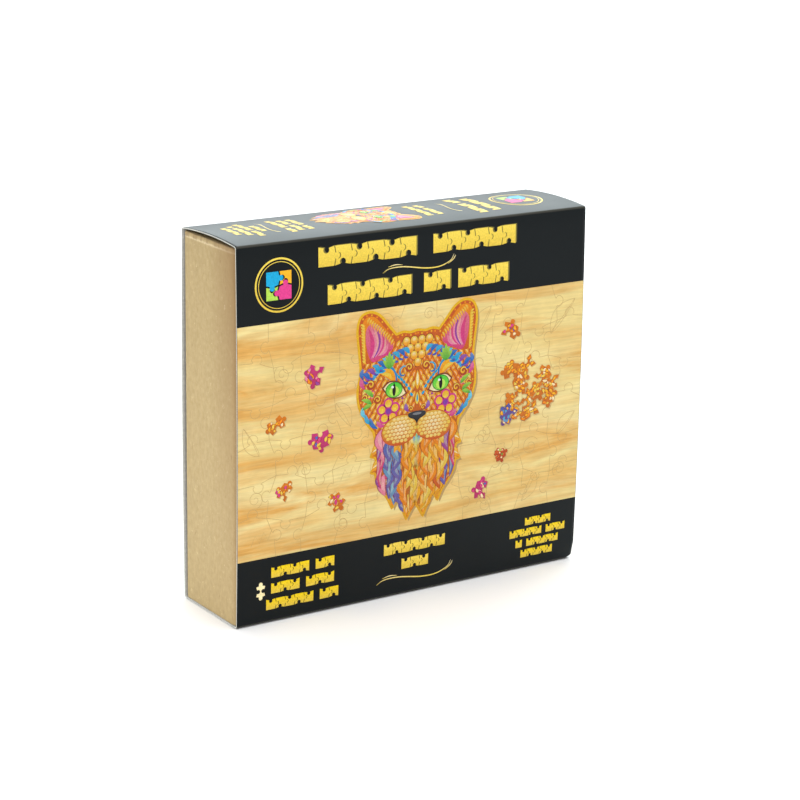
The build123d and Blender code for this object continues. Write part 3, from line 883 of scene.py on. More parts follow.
def brow(art):
    """Golden curls, blue brow curls, a leaf above each eye and the leaves down the nose."""
    for cx, cy, size in (
        (4.7, 110.6, 1.9), (25.6, 105.0, 2.0), (21.8, 97.6, 1.8), (28.6, 99.2, 1.6), (3.4, 90.6, 1.3),
    ):
        art.both(ellipse(cx, cy, size * 1.15, size * 1.15, count=14), mix(MAROON, RUST, 0.5), 7.1)
        art.both(ribbon(curl(cx, cy, size, lambda t: 7.0 * t), size * 0.42, 0.5), GOLD, 7.2, AMBER)
    points = []
    for i in range(15):
        t = i / 14 * 1.5 * pi + 0.6
        r = 3.4 - 2.3 * i / 14
        points.append((7.6 - r * cos(t), 108.5 + r * sin(t)))
    art.both(ribbon(points, 0.9, 0.7), (0.1, 0.5, 0.72), 7, BLUE)
    art.leaves((
        (11.2, 104.4, 23.4, 112.0, 6.0, 0.15, 7.2, (0.05, 0.35, 0.62), BLUE),
        (12.0, 104.8, 21.8, 110.6, 4.6, 0.15, 7.3, AMBER, ORANGE),
        (13.6, 105.8, 20.0, 109.4, 1.8, 0.15, 7.4, GOLD, AMBER),
        (17.4, 110.6, 23.6, 112.2, 1.9, -0.1, 7.5, CYAN, None),
    ))
    for i in range(7):
        t = i / 6
        art.both(ellipse(3.2 + 8.5 * t, 97.5 + 10.5 * t ** 0.7, 0.65, 1.0, -0.7), CYAN, 7)
    for y, width, height, layer, shade in (
        (104, 2.6, 9.5, 7, AMBER), (104.5, 1.3, 6.5, 8, CREAM), (95.3, 2.2, 6.0, 7, GOLD),
        (95.4, 0.9, 3.6, 8, CYAN),
    ):
        art.fill(petal((0, y - height / 2), (0, y + height / 2), width), shade, layer)


def eyes(art):
    lid = [(5.6, 98.4, 1), (10, 96.6), (15, 97.4), (19.6, 102.6, 1), (15.5, 105.4), (9.5, 104.2)]
    white = [(6.6, 98.6, 1), (10, 97.3), (15, 98.0), (18.6, 102.4, 1), (15.2, 104.7), (10, 103.6)]
    art.both(smooth(lid), (0.22, 0.05, 0.02), 8)
    art.both(smooth(white), CREAM, 9)
    art.both(ellipse(12.9, 101.0, 4.7, 3.75), IRIS_RIM, 10)
    art.both(ellipse(12.9, 101.0, 4.3, 3.4), IRIS, 11, (0.30, 0.75, 0.08))
    art.both(ellipse(12.9, 100.4, 2.6, 2.3), (0.55, 0.85, 0.12), 12)
    art.both(petal((12.9, 97.8), (12.9, 104.4), 1.9), DARK, 13)
    for sign in (-1, 1):
        art.fill(ellipse(sign * 12.9 - 0.9, 102.4, 0.75, 0.6), WHITE, 14)


def cheeks(art):
    """A large flower and two small ones, with green leaves and coloured ones around."""
    for cx, cy, r in ((15.8, 91.2, 6.0), (25.6, 100.6, 2.2), (8.2, 96.4, 1.8)):
        for i in range(5):
            t = 2 * pi * i / 5 + 0.3
            x, y = cx + r * 0.62 * cos(t), cy + r * 0.62 * sin(t)
            art.both(ellipse(x, y, r * 0.46, r * 0.46, count=12), PINK, 7)
            art.both(ellipse(x, y, r * 0.31, r * 0.31, count=12), AMBER, 7.6, GOLD)
        art.both(ellipse(cx, cy, r * 0.25, r * 0.25, count=10), PURPLE, 7.8)
    for bx, by, tx, ty in ((25.0, 96.0, 30.6, 98.6), (25.0, 95.6, 30.0, 93.6), (24.0, 99.0, 29.6, 103.2)):
        art.both(petal((bx, by), (tx, ty), 2.1, 0.08), LIME, 8, GREEN)
    for bx, by, tx, ty, shade in (
        (28.4, 91.5, 24.6, 86.2, CYAN), (25.8, 89.6, 21.4, 83.6, BLUE), (29.8, 95, 28.0, 89.5, SKY),
        (6.4, 93.6, 4.2, 89.4, PURPLE), (30.4, 109.5, 28.6, 103.0, PINK), (27.6, 112.0, 26.2, 106.6, PURPLE),
        (29.8, 113.2, 29.6, 107.6, BLUE), (19.6, 111.4, 24.6, 106.2, CYAN), (22.2, 87.2, 17.2, 84.4, PINK),
    ):
        art.both(petal((bx, by), (tx, ty), 2.2, 0.16), mix(shade, WHITE, 0.18), 7, shade)


def muzzle(art):
    """Two dotted pads, the nose and the chin's leaves."""
    for sign in (-1, 1):
        middle = sign * 9.3

        def oval(rx, ry):
            return ellipse(middle, 81.3, rx, ry, -sign * 0.12, 32)

        art.fill(oval(10.3, 7.4), RUST, 8)
        art.fill(oval(9.8, 6.9), mix(GOLD, RUST, 0.35), 9, RUST)
        pad = oval(8.9, 6.1)
        for i in range(-5, 6):
            for k in range(-4, 5):
                x = middle + 2.15 * (i + 0.5 * (k % 2))
                y = 81.3 + 1.75 * k
                if inside(pad, x, y):
                    shade = mix(GOLD, (0.95, 0.88, 0.62), max(0.0, 1 - hypot(x - middle, y - 82.3) / 9))
                    art.fill(ellipse(x, y, 1.0, 0.84, 0, 10), shade, 10, mix(shade, AMBER, 0.6))
    nose = [(0, 83.0, 1), (1.4, 85.2), (4.6, 86.8), (4.4, 88.6), (0, 89.2), (-4.4, 88.6), (-4.6, 86.8),
            (-1.4, 85.2)]
    art.fill(smooth(nose), (0.05, 0.05, 0.06), 11, DARK)
    art.fill(ellipse(0, 87.9, 2.5, 0.6), (0.22, 0.22, 0.24), 12)
    for i, shade in zip(range(-2, 3), (CREAM, CYAN, (0.1, 0.6, 0.5), CYAN, CREAM)):
        leaf = petal((i * 1.5, 78.4 - abs(i) * 0.9), (i * 0.9, 71.4 + abs(i)), 1.4)
        art.fill(leaf, shade, 7.9 + 0.02 * i, GOLD)


def scattered_piece(art, cx, cy, size, turn, seed, shades, layer=0.0):
    """One loose piece of the picture, lying on the plank with its shadow."""
    rng = random.Random(seed)
    sides = [rng.choice((-1, 1)) for _ in range(4)]
    corners = tile(-size / 2, -size / 2, size, size * rng.uniform(0.7, 0.95), sides, size * 0.3)
    c, s = cos(turn), sin(turn)

    def set_down(points, dx=0.0, dy=0.0):
        return [(cx + dx + x * c - y * s, cy + dy + x * s + y * c) for x, y in points]

    ground = shades[0]
    art.fill(set_down(corners, 0.4, -0.4), CAST_SHADE, layer + 1)
    art.fill(set_down(corners), mix(ground, MAROON, 0.35), layer + 1.1, mix(ground, MAROON, 0.6))
    placed = 0
    for _ in range(90):
        start = (rng.uniform(-0.6, 0.5) * size, rng.uniform(-0.6, 0.4) * size)
        tip = (start[0] + rng.uniform(0.1, 0.3) * size, start[1] + rng.uniform(-0.1, 0.3) * size)
        shade = rng.choice(shades + (shades[1], CREAM))
        if placed < 14 and inside(corners, *start) and inside(corners, *tip):
            over = layer + 1.15 + 0.08 * placed
            edge, leaf = (set_down(petal(start, tip, size * wide, 0.12)) for wide in (0.23, 0.17))
            art.fill(edge, MAROON, over)
            art.fill(leaf, shade, over + 0.04, mix(shade, RUST, 0.3))
            placed += 1


def cut_network(art, left, right, low, high, columns, rows):
    """Faint saw lines of a jigsaw printed over the plank."""
    def at(i, k):
        x = left + (right - left) * i / columns
        y = low + (high - low) * k / rows
        if 0 < i < columns:
            x += 2.6 * sin(1.9 * i + 2.7 * k)
        if 0 < k < rows:
            y += 2.2 * cos(2.3 * i - 1.1 * k)
        return x, y

    for i in range(columns + 1):
        for k in range(rows + 1):
            for ni, nk in ((i + 1, k), (i, k + 1)):
                edge = (i in (0, columns) and ni == i) or (k in (0, rows) and nk == k)
                if ni > columns or nk > rows or edge:
                    continue
                start, end = at(i, k), at(ni, nk)
                line = knob_side(start, end, (-1) ** (i + k + (ni > i)), 5.2) + [end]
                art.saw_line(open_curve(line, 3), 0.22)


def whimsy_cuts(art):
    """A few playful saw lines among the plain ones: scrolls, leaves and a jagged one."""
    for cx, cy, size, start, way in (
        (-18, 133, 5.0, 0.0, 1), (25, 134, 4.4, 2.0, -1), (-40, 41, 5.2, 1.0, 1), (40, 37, 4.8, 3.0, -1),
        (-72, 116, 4.6, 2.2, 1), (66, 62, 5.0, 0.6, 1), (84, 48, 4.2, 4.0, -1), (-86, 60, 4.2, 5.0, 1),
        (38, 72, 4.6, 1.4, -1), (6, 134.5, 3.2, 0.4, 1), (-60, 70, 4.0, 3.6, -1),
    ):
        art.saw_line(curl(cx, cy, size, lambda t: start + way * t * 3.2 * pi, 40), 0.2, 0.2)
    for bx, by, tx, ty, width in (
        (33, 122, 41, 134, 6.0), (76, 117, 90, 132, 7.0), (-44, 99, -36, 87, 6.0), (70, 48, 62, 35, 5.5),
        (-84, 80, -92, 94, 5.0), (82, 66, 92, 76, 5.5),
    ):
        leaf = petal((bx, by), (tx, ty), width, 0.1, 15)
        art.saw_line(leaf + leaf[:2], 0.2, 0.2)
        art.saw_line([(bx, by), ((bx + tx) / 2 + 0.6, (by + ty) / 2), (tx, ty)], 0.18, 0.2)
    for left, low in ((-41, 62), (47, 108), (-88, 38)):
        jagged = [(left + 2.2 * i, low + (4.5 if i % 2 else 0) + 0.5 * i) for i in range(6)]
        art.saw_line(jagged, 0.2, 0.2)


# ---------------------------------------------------------------- the sleeve's pieces


BAND_STEP = 4.0
FOLD_STEPS = 6
PANEL_STEPS = 24
# How far the knocked corner reaches along each axis.
KNOCKED = (0.004, 0.008, 0.005)


def band(name, place, left, right, low, high, material):
    """A plain printed field as a strip of quads that follows the bow."""
    bm = bmesh.new()
    count = max(1, round((high - low) / BAND_STEP))
    rows = []
    for k in range(count + 1):
        v = low + (high - low) * k / count
        rows.append([bm.verts.new(place(u, v, INK_STEP)) for u in (left, right)])
    for a, b in zip(rows, rows[1:]):
        bm.faces.new((a[0], a[1], b[1], b[0]))
    piece(name, bm, [material], "sleeve")


def sleeve_section(inset):
    """The sleeve's outline across its length, an inset inside its printed skin."""
    flat_y, low_z, high_z = HALF_DEPTH - FOLD, FOLD, HEIGHT - FOLD
    radius = FOLD - inset
    points = []
    for ys, up, start in ((-1, 1, 180), (1, 1, 90), (1, -1, 0), (-1, -1, 270)):
        for k in range(FOLD_STEPS + 1):
            t = radians(start - 90 * k / FOLD_STEPS)
            points.append((ys * flat_y + radius * cos(t), (high_z if up > 0 else low_z) + radius * sin(t)))
        for k in range(1, PANEL_STEPS):
            f = k / PANEL_STEPS
            if start == 180:
                y = (2 * f - 1) * flat_y
                points.append((y, top_out(y) - inset))
            elif start == 90:
                z = high_z - f * (HEIGHT - 2 * FOLD)
                points.append((face_out(z) - inset, z))
            elif start == 0:
                points.append(((1 - 2 * f) * flat_y, inset))
            else:
                z = low_z + f * (HEIGHT - 2 * FOLD)
                points.append((-(face_out(z) - inset), z))
    return points


def sleeve_sheet(materials):
    """The folded sheet as one closed tube wall: laminated outside, bare inside, cut ends."""
    bm = bmesh.new()
    end = 1.5 * MM
    stations = (-HALF_LENGTH, end - HALF_LENGTH, 0, HALF_LENGTH - KNOCKED[0], HALF_LENGTH - end, HALF_LENGTH)
    outer, inner = (
        [[bm.verts.new((x, y, z)) for y, z in sleeve_section(inset)] for x in stations]
        for inset in (0.0, SLEEVE_BOARD)
    )
    for rings, index, way in ((outer, 0, 1), (inner, 1, -1)):
        for a, b in zip(rings, rings[1:]):
            for i in range(len(a)):
                j = i + 1 - len(a)
                face = bm.faces.new((a[i], a[j], b[j], b[i])[::way])
                face.material_index = index
                face.smooth = True
    for station, way in ((0, 1), (-1, -1)):
        a, b = outer[station], inner[station]
        for i in range(len(a)):
            j = i + 1 - len(a)
            bm.faces.new((a[i], b[i], b[j], a[j])[::way]).material_index = 2
    # the lower right corner of the picture side is knocked in a little
    for vert in bm.verts:
        x, y, z = vert.co
        near = 1.0
        for away, reach in zip((HALF_LENGTH - x, y + HALF_DEPTH, z), KNOCKED):
            near *= max(0.0, 1 - away / reach)
        vert.co += Vector((-0.0012, 0.0004, 0.0009)) * near
    bmesh.ops.recalc_face_normals(bm, faces=bm.faces)
    obj = piece("printed_sleeve", bm, materials, "sleeve")
    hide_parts("sleeve_front_panel", "sleeve_back_panel", "sleeve_top_panel", "sleeve_bottom_panel")


# Where the prints are cut so that they follow the bow, and the height of the title's words, in
# millimetres.
FACE_STRIPES = [4.0 + 6.0 * i for i in range(29)]
TOP_STRIPES = [-23.0 + 2.0 * i for i in range(24)]
TITLE_HEIGHT = 9.0


def front_print(inks, plank):
    band("front_plank", on_front, -SIDE + 0.2, SIDE - 0.2, PLANK_LOW, PLANK_HIGH, plank)
    lines = Print()
    cut_network(lines, -SIDE + 0.4, SIDE - 0.4, PLANK_LOW, PLANK_HIGH, 11, 6)
    whimsy_cuts(lines)
    lines.lay("front_saw_lines", on_front, FACE_STRIPES, "v", inks, base=2)
    head = Print()
    head.fill([(x + 1.5, y - 1.3) for x, y in head_outline(0)], CAST_SHADE, 0)
    cat_head(head, 7)
    head.lay("front_cat_head", on_front, FACE_STRIPES, "v", inks, base=3, tone=0.77)
    loose = Print()
    for seed, (cx, cy, size, turn, shades) in enumerate((
        (-55.5, 114.0, 8.5, 1.3, (PINK, ROSE, ORANGE, PURPLE)),
        (-75.7, 93.9, 7.5, 0.5, (ORANGE, AMBER, GOLD, CYAN)),
        (-52.1, 83.6, 8.5, 0.1, (PINK, GOLD, BLUE, AMBER)),
        (-71.7, 61.7, 7.5, 1.0, (ORANGE, AMBER, PINK, GOLD)),
        (-43.9, 52.8, 8.0, 0.7, (ORANGE, PINK, GOLD, AMBER)),
        (52.2, 121.8, 8.5, -0.4, (ORANGE, PINK, AMBER, BLUE)),
        (47.9, 61.0, 6.0, 0.4, (RUST, LIME, GREEN, AMBER)),
        (36.8, 44.6, 8.5, 1.4, (PINK, ROSE, BLUE, PINK)),
    )):
        scattered_piece(loose, cx, cy, size, turn, seed + 3, shades)
    warm = (ORANGE, AMBER, GOLD, AMBER)
    for seed, (cx, cy) in enumerate((
        (53.6, 101.5), (62.1, 104.0), (58.0, 98.5), (57.0, 91.8), (71.5, 96.0), (77.0, 92.0),
        (69.5, 88.0), (64.5, 86.0), (75.8, 86.5), (55.8, 86.0), (59.2, 80.2), (65.2, 80.8), (52.0, 80.5),
    )):
        shades = (BLUE, CYAN, AMBER, CYAN) if cx < 52.5 else warm
        scattered_piece(loose, cx, cy, 8.2, 0.6 * seed, seed + 21, shades, 1.4 * seed)
    loose.lay("front_loose_pieces", on_front, FACE_STRIPES, "v", inks, base=3, tone=0.93)

    title = Print()
    for x, y, width, tiles in (
        (-53.3, 162.4, 52.0, 6), (8.0, 162.4, 46.2, 6),
        (-48.5, 144.9, 44.5, 6), (3.0, 144.9, 14.5, 2), (22.0, 144.9, 28.2, 4),
    ):
        tile_word(title, x, y, width, TITLE_HEIGHT, tiles)
    swash(title, 0.0, 157.6, 39.0)
    medallion(title, -73.5, 156.8, 12.3)
    title.lay("front_title_tiles", on_front, FACE_STRIPES, "v", inks)

    foot = Print()
    tile_line(foot, 0.6, 20.8, 5.6, (7,), 4.9)
    tile_line(foot, 1.0, 12.6, 5.2, (3,), 5.0)
    swash(foot, 0.6, 8.6, 42.0)
    tile_rows(foot, -60.5, 5.0, 5.0, ((21.4, (4, 2)), (13.8, (3, 3)), (6.2, (5, 2))), TEXT_GOLD)
    foot.fill(tile(-85.0, 13.6, 4.6, 4.6, (1, -1, 1, -1), 2.0), CREAM, 2)
    facts = ((21.8, (4,)), (16.4, (5, 3)), (11.0, (1, 5)), (5.6, (5,)))
    tile_rows(foot, 72.4, 3.9, 3.8, facts, TEXT_GOLD)
    foot.lay("front_lower_tiles", on_front, FACE_STRIPES, "v", inks)


def top_print(inks):
    head = Print(0.49, (-1.8, -58.5))
    cat_head(head, 7)
    head.lay("top_cat_head", on_top, TOP_STRIPES, "u", inks)
    rows = Print()
    tile_rows(rows, 0, 3.0, 3.0, ((-71.5, (4,)), (-76.0, (5, 3)), (-80.5, (1, 5)), (-85.0, (5,))))
    swash(rows, 0, -65.5, 20.0)
    tile_rows(rows, 0, 3.2, 3.3, ((-50.0, (4, 2)), (-54.8, (3, 3)), (-59.6, (5, 2))))
    tile_rows(rows, 0, 3.4, 3.3, ((19.5, (2, 4)), (13.8, (7,))))
    swash(rows, 0, 32.5, 19.5)
    tile_rows(rows, 0, 4.8, 4.8, ((48.5, (6,)), (40.0, (2, 4))))
    medallion(rows, 0, 71.8, 13.0)
    rows.lay("top_title_tiles", on_top, TOP_STRIPES, "u", inks)


def back_print(inks, plank):
    """The side that is out of sight: the picture again, small, with rows of tiles."""
    band("back_plank", on_back, -78, 20, 36, 140, plank)
    lines = Print()
    cut_network(lines, -78, 20, 36, 140, 6, 6)
    lines.lay("back_saw_lines", on_back, FACE_STRIPES, "v", inks, base=2)
    head = Print(0.82, (-29.0, 16.5))
    cat_head(head, 11)
    head.lay("back_cat_head", on_back, FACE_STRIPES, "v", inks, base=3)
    rows = Print()
    for x, width in ((-53.3, 52.0), (8.0, 46.2)):
        tile_word(rows, x, 154.0, width, TITLE_HEIGHT, 6)
    medallion(rows, 55.0, 122.0, 14.0)
    for i in range(9):
        tile_line(rows, 55.0, 92.0 - 6.4 * i, 3.2, ((4, 5, 2), (3, 6, 2), (5, 2, 4))[i % 3], 3.4)
    for i in range(3):
        tile_line(rows, -29.0, 24.0 - 6.4 * i, 3.2, ((5, 4, 6), (3, 7, 5), (6, 4, 4))[i % 3], 3.4)
    rows.lay("back_title_tiles", on_back, FACE_STRIPES, "v", inks)


def bottom_print(inks):
    rows = Print()
    tile_rows(rows, 0, 3.4, 3.4, ((-30.0, (4, 5)), (-36.0, (6, 3)), (-42.0, (3, 5))))
    medallion(rows, 0, 40.0, 10.0)
    rows.lay("bottom_tiles", on_bottom, [], "u", inks, base=-5)


def leaflet_print(inks):
    """The folded sheet's cover: the finished head in flat colours inside a border."""
    sheet = Print()
    for left, right, low, high in (
        (-78, 78, 156, 158), (-78, 78, 7, 9), (-78, -76, 9, 156), (76, 78, 9, 156),
    ):
        sheet.fill([(left, low), (right, low), (right, high), (left, high)], BLACK, 0.2)
    for i, (centre, width) in enumerate(((-52, 9), (52, 9), (-52, 6), (52, 7), (-52, 8), (52, 5))):
        tile_line(sheet, centre, 146.5 - 9.0 * (i // 2), 4.6, (width // 2, width - width // 2), 4.4)
    sheet.fill(head_outline(0.7), HONEY[0], 0.4, HONEY[1])
    sheet.fill(head_outline(-0.6), ORANGE, 0.8, AMBER)
    sheet.both(petal((21.5, 115), (27.5, 133), 6.5, 0.1), ROSE, 1.2, PINK)
    sheet.both(ellipse(12.9, 101.0, 4.7, 3.75), IRIS, 1.2)
    sheet.both(petal((12.9, 97.6), (12.9, 104.6), 1.9), DARK, 1.6)
    sheet.both(ellipse(9.3, 81.3, 9.8, 6.9, -0.12, 32), CREAM, 1.2, GOLD)
    sheet.fill(petal((0, 84), (0, 89.4), 6.5), DARK, 1.6)
    for i in range(9):
        x = 2.2 * i - 8.8
        sheet.fill(petal((x, 73 - 0.12 * x * x), (0.8 * x, 50 - 0.05 * x * x), 1.6, 0.1), RUST, 1.2)
    sheet.lay("leaflet_cover_print", on_leaflet, [], "v", inks, 1, "leaflet")


# ---------------------------------------------------------------- the tray and what it holds


def dress(node, material):
    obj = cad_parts[node]
    obj.data.materials.clear()
    obj.data.materials.append(material)


# The tray's board: its liners and fluted medium, the radii of its folds, the feet that lock in the
# base, and how far edges stay shy of the board they meet.
LINER = 0.00028
MEDIUM_HALF = 0.00007
HALF_BOARD = TRAY_BOARD / 2
WAVE = HALF_BOARD - LINER - MEDIUM_HALF
CREASE_DROP = 0.0021
FLUTE_PITCH = 0.0033
BASE_FOLD = 0.002
RIM_FOLD = (0.0021, 0.0042)
INNER_FOLD = 0.0011
FEET_SPACING = 0.092
FEET_WIDTH = 0.0215
FEET_EXTRA = 0.0003
FOLD_SETBACK = 0.0005
SHY = 0.0001
WELD = 0.000002
END_WAVE_STEPS = 12
LONG_WAVE_STEPS = 10


def skins(bm, rows):
    """Closes a sheet from its rings of vertices: smooth faces, flat cut edges and two ends."""
    count = len(rows[0])
    for a, b in zip(rows, rows[1:]):
        for i in range(count):
            j = (i + 1) % count
            bm.faces.new((a[i], a[j], b[j], b[i])).smooth = i not in (count // 2 - 1, count - 1)
    for ring in (rows[0], rows[-1]):
        for i in range(count // 2 - 1):
            bm.faces.new((ring[i], ring[i + 1], ring[count - 2 - i], ring[count - 1 - i]))


def end_wall_path(low, high):
    """Middle line of a left end wall's board seen from above, from the base fold over the rim."""
    path = []

    def turn(cx, cy, rx, ry, start, count):
        for k in range(count + 1):
            t = radians(start + 90 * k / count)
            path.append((cx + rx * cos(t), cy + ry * sin(t)))

    (left, front, _), (right, back, _) = low, high
    rx, ry = RIM_FOLD
    bend = BASE_FOLD - HALF_BOARD
    inner = right - HALF_BOARD
    turn(left + BASE_FOLD, back - BASE_FOLD, bend, bend, 90, 8)
    turn(left + rx, front + ry, rx - HALF_BOARD, ry - HALF_BOARD, 180, 12)
    turn(inner - INNER_FOLD, front + HALF_BOARD + INNER_FOLD, INNER_FOLD, INNER_FOLD, 270, 8)
    path.append((inner, back - TRAY_BOARD - SHY))
    return path


def resample(path, step):
    """Points a fixed step apart along a line, each with its direction."""
    out = []
    carried = 0.0
    for (ax, ay), (bx, by) in zip(path, path[1:]):
        length = hypot(bx - ax, by - ay)
        ux, uy = (bx - ax) / length, (by - ay) / length
        while carried < length:
            out.append((ax + ux * carried, ay + uy * carried, ux, uy))
            carried += step
        carried -= length
    return out


def layers_at(step, steps):
    """Outer and inner side of both liners and of the fluted medium, at a step of so many a wave."""
    middle = WAVE * sin(2 * pi * step / steps)
    return (
        (HALF_BOARD, HALF_BOARD - LINER),
        (LINER - HALF_BOARD, -HALF_BOARD),
        (middle + MEDIUM_HALF, middle - MEDIUM_HALF),
    )


def corrugated_end_wall(node, material):
    """Both liners and the fluted medium of a rolled end wall, open at its cut edges."""
    low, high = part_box(node)
    mirrored = low[0] > 0
    if mirrored:
        low, high = (-high[0], *low[1:]), (-low[0], *high[1:])
    samples = resample(end_wall_path(low, high), FLUTE_PITCH / END_WAVE_STEPS)
    crease = high[2] - CREASE_DROP
    # heights, and how far the board is pressed in there by the cut edges and the crease
    levels = [
        (low[2], 0.00012), (low[2] + 0.0004, 0.0), (crease - 0.0006, 0.0), (crease, 0.00016),
        (crease + 0.0006, 0.00003), (high[2] - 0.0005, 0.00005), (high[2], 0.0003),
    ]
    bm = bmesh.new()
    for sheet in range(3):
        rows = []
        for s, (x, y, ux, uy) in enumerate(samples):
            ring = []
            for offset, stations in zip(layers_at(s, END_WAVE_STEPS)[sheet], (levels, levels[::-1])):
                for z, sink in stations:
                    px, py = x + uy * (offset - sink), y - ux * (offset - sink)
                    ring.append(bm.verts.new((-px if mirrored else px, py, z)))
            rows.append(ring)
        skins(bm, rows)
    size = (TRAY_BOARD - SHY, TRAY_BOARD + FEET_EXTRA, FEET_WIDTH)
    x = high[0] - HALF_BOARD
    for way in (-1, 1):
        middle = (low[2] + high[2] + way * FEET_SPACING) / 2
        centre = (-x if mirrored else x, high[1] - size[1] / 2 - SHY / 2, middle)
        bmesh.ops.create_cube(bm, size=1, matrix=Matrix.LocRotScale(Vector(centre), None, Vector(size)))
    bmesh.ops.recalc_face_normals(bm, faces=bm.faces)
    side = "right" if mirrored else "left"
    obj = piece(f"fluted_{side}_end_wall", bm, [material], "tray")
    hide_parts(node)


def corrugated_long_wall(node, material):
    """A long tray wall: fluted board with its waves along X, bent at the base fold."""
    low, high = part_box(node)
    side, level, up = ("top", high[2], 1) if high[2] > HEIGHT / 2 else ("bottom", low[2], -1)
    fold_y, fold_z = high[1] - BASE_FOLD, level - up * BASE_FOLD
    reach = BASE_FOLD - HALF_BOARD
    path = []
    for k in range(7):
        t = radians(90 * k / 6)
        ny, nz = cos(t), up * sin(t)
        path.append((fold_y + reach * ny, fold_z + reach * nz, ny, nz))
    path.append((low[1], level - up * HALF_BOARD, 0.0, up))
    bm = bmesh.new()
    count = round((high[0] - low[0]) / (FLUTE_PITCH / LONG_WAVE_STEPS))
    for sheet in range(3):
        rows = []
        for i in range(count + 1):
            x = low[0] + (high[0] - low[0]) * i / count
            offsets = layers_at(i, LONG_WAVE_STEPS)[sheet]
            if sheet == 1:
                offsets = offsets[::-1]
            ring = []
            for offset, stations in zip(offsets, (path, path[::-1])):
                for y, z, ny, nz in stations:
                    trim = FOLD_SETBACK if abs(ny) > 0.001 else 0.0
                    shift = min(max(x, low[0] + trim), high[0] - trim)
                    ring.append(bm.verts.new((shift, y + ny * offset, z + nz * offset)))
            rows.append(ring)
        skins(bm, rows)
    bmesh.ops.dissolve_degenerate(bm, edges=bm.edges, dist=WELD)
    bmesh.ops.recalc_face_normals(bm, faces=bm.faces)
    obj = piece(f"fluted_{side}_wall", bm, [material], "tray")
    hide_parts(node)


PIECE_RIM = 0.00028
PIECE_BEVEL = 0.00022
PIECE_WELD = 0.000005
# The crown half lies in front of the beard half, so its picture's foot is below the tray.
CROWN_SHIFT = -0.118


def cut_pieces(node, printed, burnt, body):
    """The node's wooden pieces with a softened, scorched rim round each printed face."""
    bm = bmesh.new()
    bm.from_mesh(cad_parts[node].data)
    bmesh.ops.remove_doubles(bm, verts=bm.verts, dist=PIECE_WELD)
    for face in bm.faces:
        face.material_index = 0
    for way in (-1, 1):
        flat = [f for f in bm.faces if f.normal.y * way > 0.99]
        rim = bmesh.ops.inset_region(bm, faces=flat, thickness=PIECE_RIM, use_even_offset=False)["faces"]
        for face in rim:
            face.material_index = 1
        outer = {v for f in rim for v in f.verts} - {v for f in flat for v in f.verts}
        for vert in outer:
            vert.co.y -= way * PIECE_BEVEL
    obj = piece(node.replace("pieces", "cut_pieces"), bm, [printed, burnt], body)
    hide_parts(node)


# ---------------------------------------------------------------- stage, lights and camera


FLOOR_DROP = 0.0003


def area(name, place, target, size, energy, colour=(1, 1, 1)):
    data = bpy.data.lights.new(name, "AREA")
    data.shape = "RECTANGLE"
    data.size, data.size_y = size
    data.energy = energy
    data.color = colour
    obj = put_in_scene(name, data)
    obj.location = place
    obj.rotation_euler = (Vector(target) - Vector(place)).to_track_quat("-Z", "Y").to_euler()


def stage():
    """A pale floor just under the box, a light sky and four soft lights."""
    bm = bmesh.new()
    bmesh.ops.create_grid(bm, x_segments=1, y_segments=1, size=6.0)
    for vert in bm.verts:
        vert.co.z -= FLOOR_DROP
    floor = put_in_scene("floor", as_mesh("floor", bm))
    n = Nodes("pale_floor")
    n.surface((0.93, 0.93, 0.93, 1), 0.9)
    floor.data.materials.append(n.material)
    world = bpy.data.worlds.new("studio")
    bpy.context.scene.world = world
    world.use_nodes = True
    tree = world.node_tree
    background = tree.nodes["Background"]
    direction = tree.nodes.new("ShaderNodeTexCoord")
    split = tree.nodes.new("ShaderNodeSeparateXYZ")
    ramp = tree.nodes.new("ShaderNodeValToRGB")
    tree.links.new(direction.outputs["Generated"], split.inputs[0])
    tree.links.new(split.outputs[2], ramp.inputs["Fac"])
    tree.links.new(ramp.outputs["Color"], background.inputs["Color"])
    low, high = ramp.color_ramp.elements
    low.color = (0.42, 0.43, 0.44, 1)
    high.position = 0.9
    high.color = (1.0, 1.0, 1.0, 1)
    background.inputs["Strength"].default_value = 1.02
    area("backdrop_glow", (1.5, 2.3, 1.75), (0, 0, 0.15), (4.0, 2.6), 100, (0.86, 0.98, 1.0))
    area("overhead_fill", (-0.2, -0.7, 2.0), (0, -0.1, 0), (2.6, 2.2), 26)
    area("low_left_card", (-0.36, -0.03, 0.012), (-0.095, 0, 0.012), (0.30, 0.03), 0.42)
    area("left_reflector", (-0.9, -0.35, 0.06), (-0.095, 0, 0.03), (0.8, 0.3), 0.55)


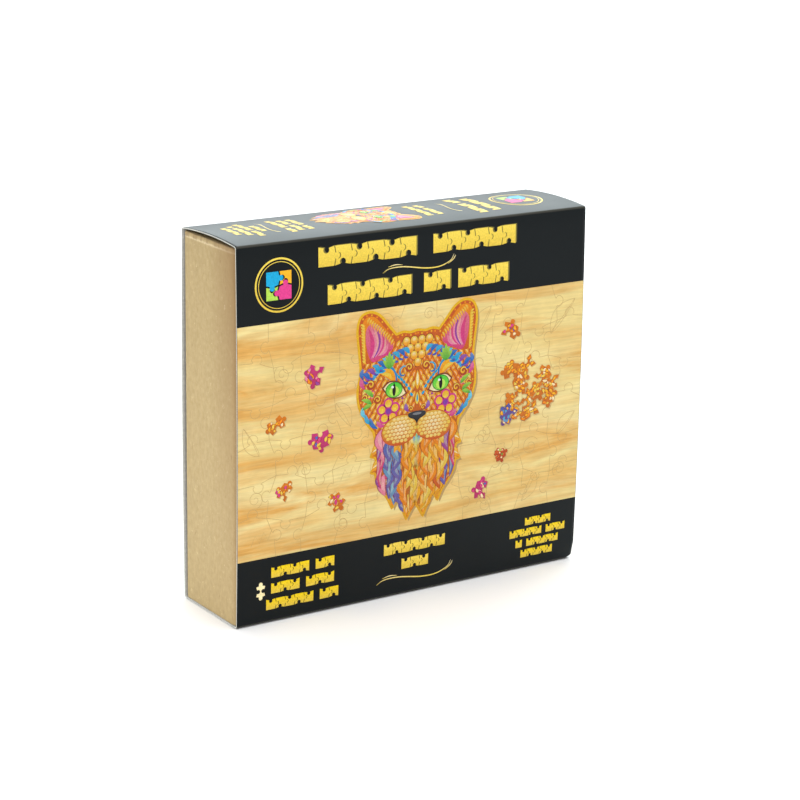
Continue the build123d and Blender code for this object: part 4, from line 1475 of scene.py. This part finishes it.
def camera():
    """Looks down a little at the picture side and the left end."""
    yaw, pitch, roll = radians(33.63), radians(15.77), radians(0.98)
    ahead = Vector((sin(yaw) * cos(pitch), cos(yaw) * cos(pitch), -sin(pitch)))
    right = Vector((cos(yaw), -sin(yaw), 0))
    up = right.cross(ahead)
    right, up = cos(roll) * right + sin(roll) * up, cos(roll) * up - sin(roll) * right
    data = bpy.data.cameras.new("camera")
    data.sensor_width = 36.0
    data.lens = 107.3
    data.clip_start = 0.05
    obj = put_in_scene("camera", data)
    turn = Matrix((right, up, -ahead)).transposed().to_4x4()
    obj.matrix_world = Matrix.Translation((-0.5924, -0.9021, 0.3929)) @ turn
    bpy.context.scene.camera = obj


def main():
    inks, plank = ink(), plank_print()
    sleeve_sheet([lamination(), inner_board(), cut_edge()])
    front_print(inks, plank)
    top_print(inks)
    back_print(inks, plank)
    bottom_print(inks)
    leaflet_print(inks)
    wall_low, wall_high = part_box("tray_left_end_wall")
    upright = kraft("kraft_liner_upright", (1400, 1400, 260), wall_high[2] - CREASE_DROP, wall_low[1])
    lengthwise = kraft("kraft_liner_lengthwise", (260, 1400, 1400))
    rows = sorted(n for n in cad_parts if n.startswith("pieces_row"))
    split = next(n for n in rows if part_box(n)[1][1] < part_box("pieces_row_05_left")[0][1])
    front_rows = [n for n in rows if n >= split]
    beard_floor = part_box("tray_bottom_wall")[0][2] + TRAY_BOARD
    beard = wood_piece("beard_plywood", beard_floor)
    crown = wood_piece("crown_plywood", beard_floor + CROWN_SHIFT)
    for node in ("tray_left_end_wall", "tray_right_end_wall"):
        corrugated_end_wall(node, upright)
    corrugated_long_wall("tray_top_wall", lengthwise)
    corrugated_long_wall("tray_bottom_wall", lengthwise)
    burnt = scorched_edge()
    for node in list(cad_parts):
        if "corner_tab" in node:
            dress(node, upright)
        elif node.startswith("tray"):
            dress(node, lengthwise)
        elif node in front_rows:
            cut_pieces(node, crown, burnt, "crown_half")
        elif node in rows:
            cut_pieces(node, beard, burnt, "beard_half")
    dress("sleeve_glue_flap", inner_board())
    dress("picture_leaflet", leaflet_paper())
    stage()
    camera()
    bpy.context.scene.view_settings.view_transform = "Standard"


main()
